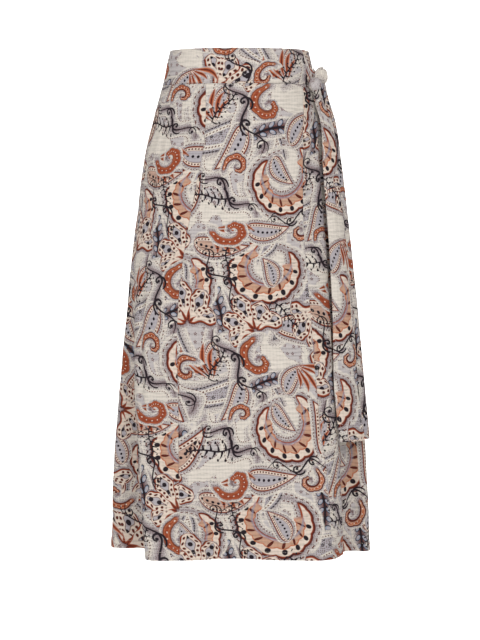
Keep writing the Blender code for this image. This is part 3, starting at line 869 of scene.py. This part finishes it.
VINES = (
    (-0.024, -0.153, 115, 0.086, -1, 0.3),
    (-0.172, -0.167, 296, 0.082, -1, 0.0),
    (-0.049, 0.041, 307, 0.078, 1, 0.9),
    (0.109, 0.182, 9, 0.072, 1, 0.9),
    (-0.050, 0.232, 145, 0.068, -1, 0.9),
)
TEARDROPS = (
    (-0.140, 0.219, 44, 0.056, 1, 0.9),
    (0.159, 0.265, 102, 0.054, 1, 0.3),
    (-0.054, 0.114, 359, 0.052, 1, 0.9),
    (0.176, 0.167, 247, 0.050, -1, 0.3),
    (0.119, -0.070, 163, 0.050, -1, 0.3),
    (0.041, 0.154, 0, 0.048, 1, 0.6),
    (-0.044, -0.230, 59, 0.046, -1, 0.0),
    (-0.171, -0.224, 301, 0.045, 1, 0.3),
    (0.189, 0.050, 117, 0.044, 1, 0.6),
    (0.100, -0.169, 233, 0.042, -1, 0.6),
    (0.206, -0.132, 292, 0.040, 1, 0.6),
    (-0.087, -0.135, 52, 0.038, -1, 0.0),
    (0.054, 0.055, 116, 0.035, 1, 0.6),
    (0.068, 0.274, 315, 0.034, 1, 0.6),
    (-0.141, 0.033, 316, 0.030, 1, 0.6),
)
SCROLLS = (
    (-0.205, 0.239, 158, 0.040, 1, 0.9),
    (0.024, -0.136, 295, 0.036, -1, 0.6),
    (-0.037, 0.154, 30, 0.033, -1, 0.9),
    (0.187, -0.071, 323, 0.030, 1, 0.3),
    (0.119, 0.147, 40, 0.028, 1, 0.0),
    (-0.135, -0.157, 246, 0.026, -1, 0.3),
    (-0.026, -0.258, 179, 0.024, 1, 0.3),
)
SPRIGS = (
    (-0.088, 0.220, 0, 0.040, -1, 0.0),
    (-0.070, -0.143, 234, 0.038, -1, 0.3),
    (0.174, 0.112, 65, 0.036, -1, 0.0),
    (-0.035, 0.073, 278, 0.036, 1, 0.3),
    (0.089, -0.037, 143, 0.034, -1, 0.0),
)
SPRAYS = (
    (-0.169, -0.268, 316, 0.052, -1, 0.6),
    (-0.050, -0.023, 106, 0.050, 1, 0.9),
    (0.044, -0.177, 194, 0.048, -1, 0.3),
    (0.146, 0.089, 89, 0.046, -1, 0.3),
)


class Finish(Nodes):
    """The nodes of one finish."""

    def __init__(self, name):
        self.material = bpy.data.materials.new(name)
        self.material.use_nodes = True
        super().__init__(self.material.node_tree)
        self.shader = self.tree.nodes["Principled BSDF"].inputs

    def vector(self, operation, *inputs):
        return self.add("ShaderNodeVectorMath", {"operation": operation}, dict(enumerate(inputs))).outputs[0]

    def length(self, vector):
        node = self.add("ShaderNodeVectorMath", {"operation": "LENGTH"}, {0: vector})
        return Amount(self, node.outputs["Value"])

    def parts(self, vector):
        node = self.add("ShaderNodeSeparateXYZ", {}, {0: vector})
        return [Amount(self, socket) for socket in node.outputs]

    def joined(self, x, y, z):
        return self.add("ShaderNodeCombineXYZ", {}, {0: x, 1: y, 2: z}).outputs[0]

    def choose(self, share, first, second):
        """One of two vectors, or a mix of them."""
        inputs = {"Factor": share, 4: first, 5: second}
        return self.add("ShaderNodeMix", {"data_type": "VECTOR", "clamp_factor": False}, inputs).outputs[1]

    def mixed(self, share, first, second):
        """A mix of two colours."""
        inputs = {"Factor": share, 6: first, 7: second}
        return self.add("ShaderNodeMix", {"data_type": "RGBA"}, inputs).outputs[2]

    def noise(self, where, scale, detail, flat="2D"):
        """Smooth noise, mostly from 0.3 to 0.7, as a number and as a colour."""
        inputs = {"Vector": where, "Scale": scale, "Detail": detail}
        node = self.add("ShaderNodeTexNoise", {"noise_dimensions": flat}, inputs)
        return Amount(self, node.outputs[0]), node.outputs["Color"]

    def dress(self, colour, roughness, strength, distance, height):
        """Feeds the shader a colour, a roughness and a relief."""
        inputs = {"Strength": strength, "Distance": distance, "Height": height}
        relief = self.add("ShaderNodeBump", {}, inputs).outputs[0]
        for name, value in (("Base Color", colour), ("Roughness", roughness), ("Normal", relief)):
            self.feed(self.shader[name], value)


def linear(colour):
    """A screen colour, 0 to 255, as the shader takes it."""
    shares = [c / 255 for c in colour]
    return (*((c / 12.92 if c <= 0.04 else ((c + 0.055) / 1.055) ** 2.4) for c in shares), 1.0)


class Print(Finish):
    """A paisley print drawn on the flat cloth, one kind of motif over another."""

    def __init__(self, name):
        super().__init__(name)
        self.inks = bpy.context.scene.skirt_print
        self.flat = self.add("ShaderNodeUVMap", {"uv_map": "Flat cloth"}, {}).outputs[0]
        _, drift = self.noise(self.flat, 4.0, 1.0)
        moved = self.vector("MULTIPLY_ADD", drift, (0.06, 0.06, 0.0), (-0.03, -0.03, 0.0))
        size = self.inks.size
        self.place = self.vector("MULTIPLY_ADD", self.flat, (1 / size, 1 / size, 0.0), moved)
        self.colour = (*self.inks.ivory, 1.0)

    def ink(self, name, share):
        """Prints one ink over what is there."""
        self.colour = self.mixed(share, self.colour, (*getattr(self.inks, name), 1.0))

    def spots(self, rows):
        """The place within the nearest of one kind of motif, in that motif's own size, and its
        tone. Each row is its middle, turn, size, side (1 or -1) and tone."""
        chosen = nearest = None
        for x, y, turn, size, side, tone in rows:
            low = (x - TILE[0] / 2, y - TILE[1] / 2, -1.0)
            high = (x + TILE[0] / 2, y + TILE[1] / 2, 1.0)
            mapped = {
                "Vector": self.vector("WRAP", self.place, high, low),
                "Location": (x, y, -tone * 0.1),
                "Rotation": (0.0, 0.0, math.radians(turn)),
                "Scale": (size * side * 1.1, size * 1.1, 1.0),
            }
            own = self.add("ShaderNodeMapping", {"vector_type": "TEXTURE"}, mapped).outputs[0]
            away = self.length(own)
            if chosen is None:
                chosen, nearest = own, away
            else:
                chosen = self.choose(away.math("LESS_THAN", nearest), chosen, own)
                nearest = away.smaller(nearest)
        x, y, tone = self.parts(chosen)
        return x, y, tone * 10.0

    def polar(self, x, y):
        """How far from the middle, and the angle there."""
        return (x * x + y * y).root(), y.math("ARCTAN2", x)

    def cells(self, scale):
        """Uneven cells, for what is strewn over the cloth."""
        inputs = {"Vector": self.place, "Scale": scale, "Randomness": 0.6}
        return self.add("ShaderNodeTexVoronoi", {"voronoi_dimensions": "2D"}, inputs).outputs

    def curl(self, away, turn, grow, length):
        """A curl that winds in to its middle: how many radians past its line a point is, the angle
        wound there, and how far out along the curl that is, 1 at the outer end."""
        wound = away.math("LOGARITHM", math.e) / grow
        total = turn + ((wound - turn) * (1 / math.tau)).whole() * math.tau
        return wound - total, total, total * (1 / length) + 1.0

    def beads(self, run):
        """A row of beads: on where the sine of `run` is above 0."""
        return run.sine().inside(0.4)

    def dots(self, count, pitch, across, radius):
        """A row of round dots: `count` numbers them and `pitch` is the way from one to the next."""
        gone = (count.part() - 0.5) * pitch
        return (radius * radius - (gone * gone + across * across)).inside(radius * 0.02)

    def halo(self, depth, reach, strength=1.0):
        """Soft dotted shading outside a motif's edge; `depth` is below 0 there."""
        near = (depth * (1.0 / reach) + 1.0).larger(0.0)
        self.ink("ivory", near * 5.0)
        self.ink("lavender", (near - 0.20) * 1.2 * strength)
        self.ink("stone", self.stipple * (near - 0.30).inside(0.2) * 0.7)
        self.ink("brown", (near - 0.60) * 0.9 * strength)

    # each kind of motif; x runs along it and y across, from its middle, with its ends at -1 and 1
    def ribbons(self, rows):
        """Broad wavy bands, finely dotted, with beaded edges and small rosettes."""
        x, y, tone = self.spots(rows)
        wave = (x * 2.8 + tone * 3.0).sine() * 0.26
        depth = (1.0 - x * x) * 0.27 - abs(y - wave)
        self.halo(depth, 0.16, 0.6)
        inside = depth.inside(0.02)
        beads = self.beads(x * 130.0)
        self.ink("lavender", inside)
        self.ink("stone", inside * self.stipple)
        self.ink("ivory", (depth - 0.100).within(0.038))
        self.ink("night", (depth - 0.018).within(0.014) * (beads * 0.5 + 0.5))
        self.ink("brown", (depth - 0.100).within(0.012) * beads)
        self.ink("night", self.rosette * (depth - 0.15).inside())

    def flames(self, rows):
        """A burst of long soft tongues with a dark heart."""
        x, y, _ = self.spots(rows)
        away, turn = self.polar(x, y)
        tongue = turn * 2.9 + (away * 4.0).sine() * 0.5
        which = tongue.whole()
        off = abs(tongue - which + (away * 8.0 + which * 2.0).sine() * 0.10)
        far = away / ((which * 2.4 + 0.6).sine() * 0.17 + 0.80)
        wide = far * (1.0 - far) * 1.8
        kept = which.within(2.4, 0.1)
        for name, share, sharp in (
            ("lavender", 1.5, 3.0),
            ("peach", 1.0, 6.0),
            ("orange", 0.80, 8.0),
            ("rust", 0.50, 14.0),
            ("brown", 0.22, 20.0),
        ):
            self.ink(name, ((wide * share - off) * sharp).math("MULTIPLY", kept, clamp=True))

    def hooks(self, rows):
        """A bowed stem with a pair of curved thorns at each step, each with a small berry."""
        x, y, _ = self.spots(rows)
        stem = y - (x * 3.0).sine() * 0.10
        up = abs(stem) * (x * 1.1 + 3.1)
        along = (x * 3.2 + stem.math("SIGN") * 0.25).part()
        thorn = (1.0 - up) * 0.20 - abs(along - 0.14 - up * up * 0.50)
        berry = 0.020 - ((along - 0.70) * (along - 0.70) + (up - 0.96) * (up - 0.96) * 0.7)
        ends = x.within(0.98, 0.04)
        self.ink("night", thorn.inside(0.04).larger(berry.inside(0.008)) * ends)
        self.ink("night", stem.within(0.034, 0.015) * ends)

    def vines(self, rows):
        """The soft dotted ground of a vine, and where its dark stem goes: a wave with a wound curl
        on each crest."""
        x, y, _ = self.spots(rows)
        step = x * 2.0
        stem = y - (step * math.pi).sine() * 0.17
        taper = (1.02 - abs(x)).root()
        side = 1.0 - (step * 0.5).part().math("GREATER_THAN", 0.5) * 2.0
        away, turn = self.polar(step.part() - 0.56, y * side * 2.0 - 0.14)
        past, _, t = self.curl(away * 2.0, turn * -1.0, 0.30, 6.2)
        width = (t * 0.095 + 0.026) * (1.1 - t).root()
        curl = (width * taper - abs(past * away) * 0.30).inside(0.02)
        curl = curl * (t - 0.05).inside(0.04) * (1.08 - t).inside(0.04)
        ends = x.within(0.98, 0.03)
        knob = (0.074 - away).inside(0.03)
        line = (taper * 0.032 - abs(stem)).inside(0.015)
        self.halo((0.06 - abs(stem)).smaller(0.98 - abs(x)), 0.24)
        self.ink("brown", (abs(stem) - 0.28).within(0.015) * self.beads(x * 110.0) * ends)
        return curl.larger(line).larger(knob) * ends

    def sprays(self, rows):
        """A stem with a pair of leaves at each step."""
        x, y, _ = self.spots(rows)
        stem = y - x * x * 0.18
        up = abs(stem) * (1.15 - x * 0.45) * 2.6 - 0.46
        along = (x * 2.6).part() - 0.42
        u, v = along * 0.72 + up * 0.69, up * 0.72 - along * 0.69
        leaf = 1.0 - (u * u * 4.2 + v * v * 13.0)
        ends = x.within(0.97, 0.04)
        self.halo((0.20 - abs(stem)).smaller(0.90 - abs(x)), 0.24)
        self.ink("night", leaf.inside(0.10) * ends)
        self.ink("slate", (leaf - 0.42).inside(0.16) * ends)
        self.ink("lavender", (leaf - 0.70 + v).inside(0.2) * ends)
        self.ink("night", stem.within(0.046, 0.015) * ends)

    def petals(self, singles, fans):
        """Teardrops and fans of lobed petals, with a dark rim, dots and a pale heart."""
        x, y, own_tone = self.spots(singles)
        t = x * 0.5 + 0.5
        side = y - x * x * 0.24 + 0.11
        one = self.joined(x + 1.0, abs(side) + (abs(x) - 1.0).larger(0.0) * 2.0, t.root() * (1.0 - t) * 1.10)
        x, y, _ = self.spots(fans)
        away, turn = self.polar(x, y)
        petal = turn * 1.35
        which = petal.whole()
        far = away / ((which * 1.9 + 1.2).sine() * 0.15 + 0.84)
        off = abs((petal - which) * away * (1 / 1.35))
        lobes = (far * 20.0 + which).sine() * 0.034 * far
        full = far * (1.0 - far * far * far).root() * 0.50 + lobes - (far - 1.0).larger(0.0) * 2.0
        brim = (2.45 - abs(petal)) * away * 0.74 + (away * 15.0).sine() * 0.03
        full = full.smaller(brim + off)
        picked = (full - off).math("GREATER_THAN", -0.05)
        run, side, wide = self.parts(self.choose(picked, one, self.joined(away, off, full)))
        depth = wide - side - 0.014
        roomy = (wide - 0.13).inside(0.02)
        self.halo(depth, 0.22)
        self.ink("brown", (depth + 0.10).within(0.016) * self.beads(run * 60.0) * (wide - 0.06).inside(0.02))
        self.ink("brown", depth.inside())
        self.ink("rust", (depth - 0.026).inside())
        self.ink("shell", (depth - 0.054).inside())
        self.ink("brown", self.dots(run * 8.5, 0.118, depth - 0.110, 0.034) * (wide - 0.19).inside(0.03))
        heart = (depth - 0.170).inside() * roomy
        middle = (depth - 0.188).inside()
        self.ink("brown", heart * 0.8)
        self.ink("lavender", middle * roomy)
        self.ink("peach", middle * (own_tone - 0.75).inside(0.1) * (1.0 - picked) * 0.8)
        self.ink("night", self.dots(run * 5.0, 0.2, side, 0.056) * heart)

    def crescents(self, rows):
        """A broad crescent with a scalloped rim, seeds and almonds."""
        x, y, _ = self.spots(rows)
        away, turn = self.polar(x, y)
        along = turn * (1 / 5.0) + 0.5  # 0 at the tail, 1 at the head
        scallop = (along * 12.0).part() - 0.5
        across = away - (along * 0.22 + 0.52)
        wide = (along * (1.0 - along)).root() * (along * 0.22 + 0.34) - 0.01
        outer = wide + (0.25 - scallop * scallop) * wide.larger(0.0) * 0.8 - across
        inner = across + wide
        depth = outer.smaller(inner)
        self.halo(depth, 0.20)
        self.ink("brown", (depth + 0.085).within(0.013) * self.beads(along * 170.0))
        inside = depth.inside()
        roomy = (wide - 0.12).inside(0.02)
        self.ink("brown", inside)
        self.ink("rust", (outer - 0.042).inside() * inside)
        self.ink("shell", (outer - 0.062).inside() * (inner - 0.040).inside())
        seed = 0.0040 - (scallop * scallop * 0.13 + (outer - 0.150) * (outer - 0.150))
        self.ink("night", (seed * 20.0).inside(0.03) * roomy)
        over = outer - 0.315
        self.ink("orange", over.within(0.105) * roomy)
        self.ink("peach", over.within(0.080, 0.030) * roomy)
        skewed = scallop * 0.37 + over * 0.45
        almond = 1.0 - (skewed * skewed * 420.0 + over * over * 120.0)
        self.ink("brown", almond.inside(0.3) * roomy)
        self.ink("slate", (0.065 - inner).inside(0.06) * (inner - 0.02).inside(0.02) * roomy * 0.7)

    def scrolls(self, rows):
        """A thick curl that winds in to a knob, scalloped outside and dotted."""
        x, y, tone = self.spots(rows)
        away, turn = self.polar(x, y)
        grow = 0.26  # how fast it winds out
        past, total, t = self.curl(away, turn, grow, 5.6)
        across = past * grow * away
        wide = t * (1.08 - t).root() * 0.30 + 0.07
        bump = abs((total * 3.4).sine()) * 0.09
        depth = wide + bump * across.inside(0.05) - abs(across)
        ends = (t - 0.06).inside(0.03) * (1.06 - t).inside(0.03)
        self.halo(depth.smaller((1.07 - t) * 3.0), 0.24)
        self.ink("brown", depth.inside(0.02) * ends)
        self.ink("peach", (depth - 0.095).inside(0.02) * ends)
        self.ink("orange", (depth - 0.150 + tone * 0.15).inside(0.14) * ends)
        self.ink("rust", (depth - 0.240 + tone * 0.20).inside(0.10) * ends)
        self.ink("shell", self.dots(total * 2.6, 0.3, across, 0.040) * ends)

    def draw(self):
        """The ground, then each kind of motif from the lowest to the highest."""
        self.stipple = (0.27 - Amount(self, self.cells(240.0)["Distance"])).inside(0.16)
        x, y, _ = self.parts(self.vector("SUBTRACT", self.place, self.cells(62.0)["Position"]))
        away, turn = self.polar(x, y)
        ring = (turn * 5.0).sine() * 0.0012 + 0.0030 - away
        self.rosette = ring.inside(0.0004) * (away - 0.0010).inside(0.0004)
        field = self.noise(self.place, 14.0, 1.0)[0] - 0.50
        patches = field.inside(0.02)
        self.ink("lavender", patches * 0.70)
        self.ink("brown", self.stipple * field.within(0.012, 0.008))
        self.ink("brown", self.rosette * patches * 0.8)
        self.ribbons(RIBBONS)
        stems = self.vines(VINES)
        self.sprays(SPRAYS)
        self.crescents(CRESCENTS)
        self.petals(TEARDROPS, FANS)
        self.flames(FLAMES)
        self.scrolls(SCROLLS)
        self.hooks(SPRIGS)
        self.ink("night", stems)


def printed_cloth():
    """The printed cloth: crinkled across, with painted light and shade following the crinkle, dull, paler on
    its wrong side.
    """
    made = bpy.data.materials.get("Printed cloth")
    if made is not None:
        return made
    face = Print("Printed cloth")
    face.draw()
    across, down, _ = face.parts(face.flat)
    drawn = face.vector("MULTIPLY", face.flat, (0.3, 1.0, 0.0))
    slow, _ = face.noise(drawn, 55.0, 2.0)
    quick, _ = face.noise(drawn, 260.0, 2.0)
    ribs = (down * (math.tau / RIBS) + slow * 9.0).sine()
    fine = (down * (math.tau / FINE_RIBS) + quick * 6.0).sine()
    relief = ribs * (slow - 0.15) * 1.1 + fine * 0.35 + (quick - 0.5) * 1.5
    pucker = relief * face.inks.crinkle
    weave = (across * (math.tau / YARNS)).sine()
    check = (across * (math.tau / CHECKS) + quick * 2.0).sine()
    # painted light and shade: the colour darkens where the crinkle's relief dips and lightens where it rises,
    # up to the full ink, with a faint check of the weave
    painted_shade_and_check = (pucker * 0.20 + check * 0.03 + 0.91).smaller(1.0)
    wrong = face.add("ShaderNodeAttribute", {"attribute_name": "wrong_side"}, {}).outputs["Fac"]
    face.ink("ivory", Amount(face, wrong) * 0.6)
    colour_with_painted_shade = face.add("ShaderNodeVectorMath", {"operation": "SCALE"}, {0: face.colour, "Scale": painted_shade_and_check})
    face.dress(colour_with_painted_shade.outputs[0], pucker * -0.04 + 0.86, 0.8, 0.0006, pucker + weave * 0.12)
    face.feed(face.shader["Specular IOR Level"], 0.06)
    return face.material


def thread():
    """Pale sewing thread, twisted, a little uneven in tone."""
    made = bpy.data.materials.get("Sewing thread")
    if made is not None:
        return made
    face = Finish("Sewing thread")
    spot = face.add("ShaderNodeTexCoord", {}, {}).outputs["Object"]
    twist, _ = face.noise(spot, 900.0, 1.0, "3D")
    tone = face.mixed(twist, linear((196, 184, 170)), linear((232, 222, 208)))
    face.dress(tone, twist * 0.2 + 0.55, 0.5, 0.0001, twist)
    return face.material


def add_to_skirt(piece, node):
    """The piece stands for a solid and moves with the skirt."""
    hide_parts(node)
    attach(piece, "root")


# --- what a user may change ---
def a_length(name, description, default, least, most):
    """A length that a user may change."""
    return bpy.props.FloatProperty(
        name=name, description=description, default=default, min=least, max=most, unit="LENGTH", precision=5
    )


def a_share(name, description, default, least, most):
    """A share of something's usual size or strength."""
    return bpy.props.FloatProperty(
        name=name, description=description, default=default, min=least, max=most, subtype="FACTOR"
    )


def a_power(name, description, default):
    """The power of a light."""
    return bpy.props.FloatProperty(name=name, description=description, default=default, min=0.0, unit="POWER")


class SkirtCut(bpy.types.PropertyGroup):
    """Sizes of the cloth."""

    cloth: a_length("Cloth", "Thickness of one layer of the crinkled cloth", 0.0009, 0.0003, 0.0014)
    cell: a_length("Cell", "Size of the cells that the cloth is divided into", 0.005, 0.003, 0.02)
    creases: a_share("Creases", "Depth of the creases, as a share of their usual depth", 1.0, 0.0, 1.5)


class SkirtPrint(bpy.types.PropertyGroup):
    """Inks and size of the print, and depth of the crinkle."""

    size: a_share("Print size", "Size of the print's motifs, as a share of their drawn size", 0.8, 0.3, 3.0)
    crinkle: a_share("Crinkle", "How strongly the cloth is crinkled", 1.0, 0.0, 2.0)


for ink, colour in INK.items():
    SkirtPrint.__annotations__[ink] = bpy.props.FloatVectorProperty(
        name=ink.capitalize(), description=f"The print's {ink} ink", default=linear(colour)[:3],
        subtype="COLOR", size=3, min=0.0, max=1.0,
    )


class SkirtSewing(bpy.types.PropertyGroup):
    """Sizes of the stitches."""

    length: a_length("Stitch", "Length of one stitch", 0.0023, 0.001, 0.005)
    pitch: a_length("Pitch", "From one stitch to the next", 0.0031, 0.0015, 0.008)
    thread: a_length("Thread", "Thickness of the thread", 0.0004, 0.0002, 0.001)


class SkirtStudio(bpy.types.PropertyGroup):
    """Strength of the studio's lights."""

    key: a_power("Key", "Power of the key light", 46.0)
    fill: a_power("Fill", "Power of the fill light", 31.0)
    backdrop: a_power("Backdrop", "Power of the backdrop's light", 600.0)
    around: a_share("Around", "Strength of the light from all round", 0.47, 0.0, 2.0)


# --- the steps ---
class SKIRT_OT_panels(bpy.types.Operator):
    """Lay the back, the under front and the three parts of the wrap"""

    bl_idname = "skirt.panels"
    bl_label = "Lay the panels"

    def execute(self, context):
        cut = context.scene.skirt_cut
        fold = LENGTH - HEM_TURN
        close = (fold - HEM_SOFT / 2, fold + HEM_SOFT / 2)
        drops = drops_between(BAND_HEIGHT + SEAM_GAP / 2, LENGTH, cut.cell, close)
        for piece in PANELS:
            add_to_skirt(panel(piece, drops, cut.cloth, printed_cloth()), piece.node)
        return {"FINISHED"}


class SKIRT_OT_waistband(bpy.types.Operator):
    """Lay the three parts of the waistband"""

    bl_idname = "skirt.waistband"
    bl_label = "Lay the waistband"

    def execute(self, context):
        cut = context.scene.skirt_cut
        drops = drops_between(0.0, BAND_HEIGHT - SEAM_GAP / 2, cut.cell * 0.8)
        for piece in BANDS:
            add_to_skirt(panel(piece, drops, cut.cloth * 1.8, printed_cloth()), piece.node)
        return {"FINISHED"}


class SKIRT_OT_ties(bpy.types.Operator):
    """Hang the two ends of the tie"""

    bl_idname = "skirt.ties"
    bl_label = "Hang the tie's ends"

    def execute(self, context):
        folded = 0.0013  # the tie's two layers of cloth
        for node, rows, ripple, shift, *_ in TIES:
            outer, plan = tie_face(rows, ripple)
            add_to_skirt(shell("cloth_" + node, outer, plan + np.array(shift), folded, printed_cloth()), node)
        return {"FINISHED"}


class SKIRT_OT_knot(bpy.types.Operator):
    """Tie the knot and the two strands that reach it"""

    bl_idname = "skirt.knot"
    bl_label = "Tie the knot"

    def execute(self, context):
        for node, line, pleats, shift in (
            ("knot_upper_lobe", lobe_line(UPPER_LOBE), UPPER_PLEATS, (0.024, -0.490)),
            ("knot_lower_lobe", lobe_line(LOWER_LOBE), LOWER_PLEATS, (-0.096, -0.478)),
            ("tie_strand_over", strand_line(STRAND_OVER), GATHERS, (0.05, 0.27)),
            ("tie_strand_side", strand_line(STRAND_SIDE), GATHERS, (0.36, 0.18)),
        ):
            add_to_skirt(bunch("cloth_" + node, line, pleats, shift, printed_cloth()), node)
        return {"FINISHED"}


class SKIRT_OT_sewing(bpy.types.Operator):
    """Sew the hems, the waist seam, the wrap's edge band and the tie"""

    bl_idname = "skirt.sewing"
    bl_label = "Sew the hems and edges"

    def execute(self, context):
        # the hem's row is 2 mm inside the turned-up hem, the waist's rows 2 mm inside the band
        hem, waist, top = LENGTH - HEM_TURN + 0.002, BAND_HEIGHT - SEAM_GAP / 2 - 0.0022, 0.0025
        for piece in PANELS:
            rows = [row_across(piece, hem)]
            if piece.node == "wrap_edge_band":
                rows += [row_down(BAND_SEAM, 1.3, piece.wall), row_down(WRAP_EDGE, -1.4, piece.wall)]
            self.cut(piece.node, rows, (piece.width, LENGTH - BAND_HEIGHT), piece.hangs_from, piece.area)
        for piece in BANDS:
            rows = [row_across(piece, drop) for drop in (waist, top)]
            self.cut(piece.node, rows, (piece.width, BAND_HEIGHT), piece.hangs_from, piece.area)
        for node, rows, ripple, _, length, tied in TIES:
            outer, _ = tie_face(rows, ripple)
            pieces = ["cloth_" + other for other in tied]
            self.cut(node, tie_rows(outer), (TIE_WIDTH, length), tied, None, pieces)
        return {"FINISHED"}

    def cut(self, node, rows, flat, hangs_from, area, pieces=()):
        """Sews a piece of cloth."""
        stitches = sew("thread_" + node, rows)


class SKIRT_OT_stage(bpy.types.Operator):
    """Set the pale floor, the soft lights and the camera"""

    bl_idname = "skirt.stage"
    bl_label = "Set the studio"

    def execute(self, context):
        scene = context.scene
        studio = scene.skirt_studio
        scene.view_settings.view_transform = "Standard"

        ground, front, back, bend, top, side = -1.30, -6.0, 7.0, 1.5, 6.0, 8.0
        turns = np.linspace(0.1, math.pi / 2, 16)
        profile = [(y, ground) for y in (front, 0.0, back)]
        profile += [(back + bend * math.sin(a), ground + bend * (1 - math.cos(a))) for a in turns]
        profile += [(back + bend, top)]
        points = [(x, y, z) for y, z in profile for x in (-side, side)]
        faces = [(2 * i, 2 * i + 1, 2 * i + 3, 2 * i + 2) for i in range(len(profile) - 1)]
        floor = bpy.data.meshes.new("floor")
        floor.from_pydata(points, [], faces)
        floor.shade_smooth()
        paint = Finish("Studio paint")
        paint.feed(paint.shader["Base Color"], (0.90, 0.90, 0.90, 1.0))
        floor.materials.append(paint.material)
        place("studio_sweep", floor)

        skirt_middle, sweep = (0.0, 0.0, -0.45), (0.0, 7.4, -0.45)
        for name, spot, target, width, strength in (
            ("key", (1.0, -2.9, 0.9), skirt_middle, 1.3, studio.key),
            ("fill", (-2.0, -2.4, 0.6), skirt_middle, 2.2, studio.fill),
            ("backdrop", (0.0, 5.2, 3.6), sweep, 4.0, studio.backdrop),
        ):
            light = bpy.data.lights.new(name, "AREA")
            light.size = width
            light.energy = strength
            lamp = place(name, light)
            lamp.location = spot
            x, y, z = np.subtract(target, spot)
            lamp.rotation_euler = (math.atan2(math.hypot(x, y), -z), 0.0, math.atan2(y, x) - math.pi / 2)

        world = bpy.data.worlds.new("studio")
        world.use_nodes = True
        background = world.node_tree.nodes["Background"].inputs
        background["Color"].default_value = (1.0, 1.0, 1.0, 1.0)
        background["Strength"].default_value = studio.around
        scene.world = world

        lens = bpy.data.cameras.new("camera")
        lens.lens = 110.0
        lens.sensor_width = 36.0
        camera = place("camera", lens)
        camera.location = (0.0007, -3.5, -0.2636)
        camera.rotation_euler = (math.radians(90 - 3.51), 0.0, 0.0)
        scene.camera = camera
        return {"FINISHED"}


class SKIRT_PT_sidebar(bpy.types.Panel):
    """The skirt's steps and sizes"""

    bl_idname = "SKIRT_PT_sidebar"
    bl_label = "Wrap skirt"
    bl_space_type = "VIEW_3D"
    bl_region_type = "UI"
    bl_category = "Skirt"

    def draw(self, context):
        column = self.layout.column()
        for group, kind in GROUPS.items():
            for name in kind.__annotations__:
                column.prop(getattr(context.scene, group), name)
        for step in STEPS:
            column.operator(step.bl_idname)


STEPS = (SKIRT_OT_stage, SKIRT_OT_panels, SKIRT_OT_waistband, SKIRT_OT_ties, SKIRT_OT_knot, SKIRT_OT_sewing)
GROUPS = {
    "skirt_cut": SkirtCut, "skirt_print": SkirtPrint, "skirt_sewing": SkirtSewing, "skirt_studio": SkirtStudio
}
CLASSES = (*GROUPS.values(), *STEPS, SKIRT_PT_sidebar)


def register():
    for cls in CLASSES:
        bpy.utils.register_class(cls)
    for group, kind in GROUPS.items():
        setattr(bpy.types.Scene, group, bpy.props.PointerProperty(type=kind))


def unregister():
    for group in GROUPS:
        delattr(bpy.types.Scene, group)
    for cls in reversed(CLASSES):
        bpy.utils.unregister_class(cls)


def main():
    """Registers the add-on and runs the steps in order."""
    register()
    for step in STEPS:
        family, name = step.bl_idname.split(".")
        getattr(getattr(bpy.ops, family), name)()


if __name__ == "__main__":
    main()
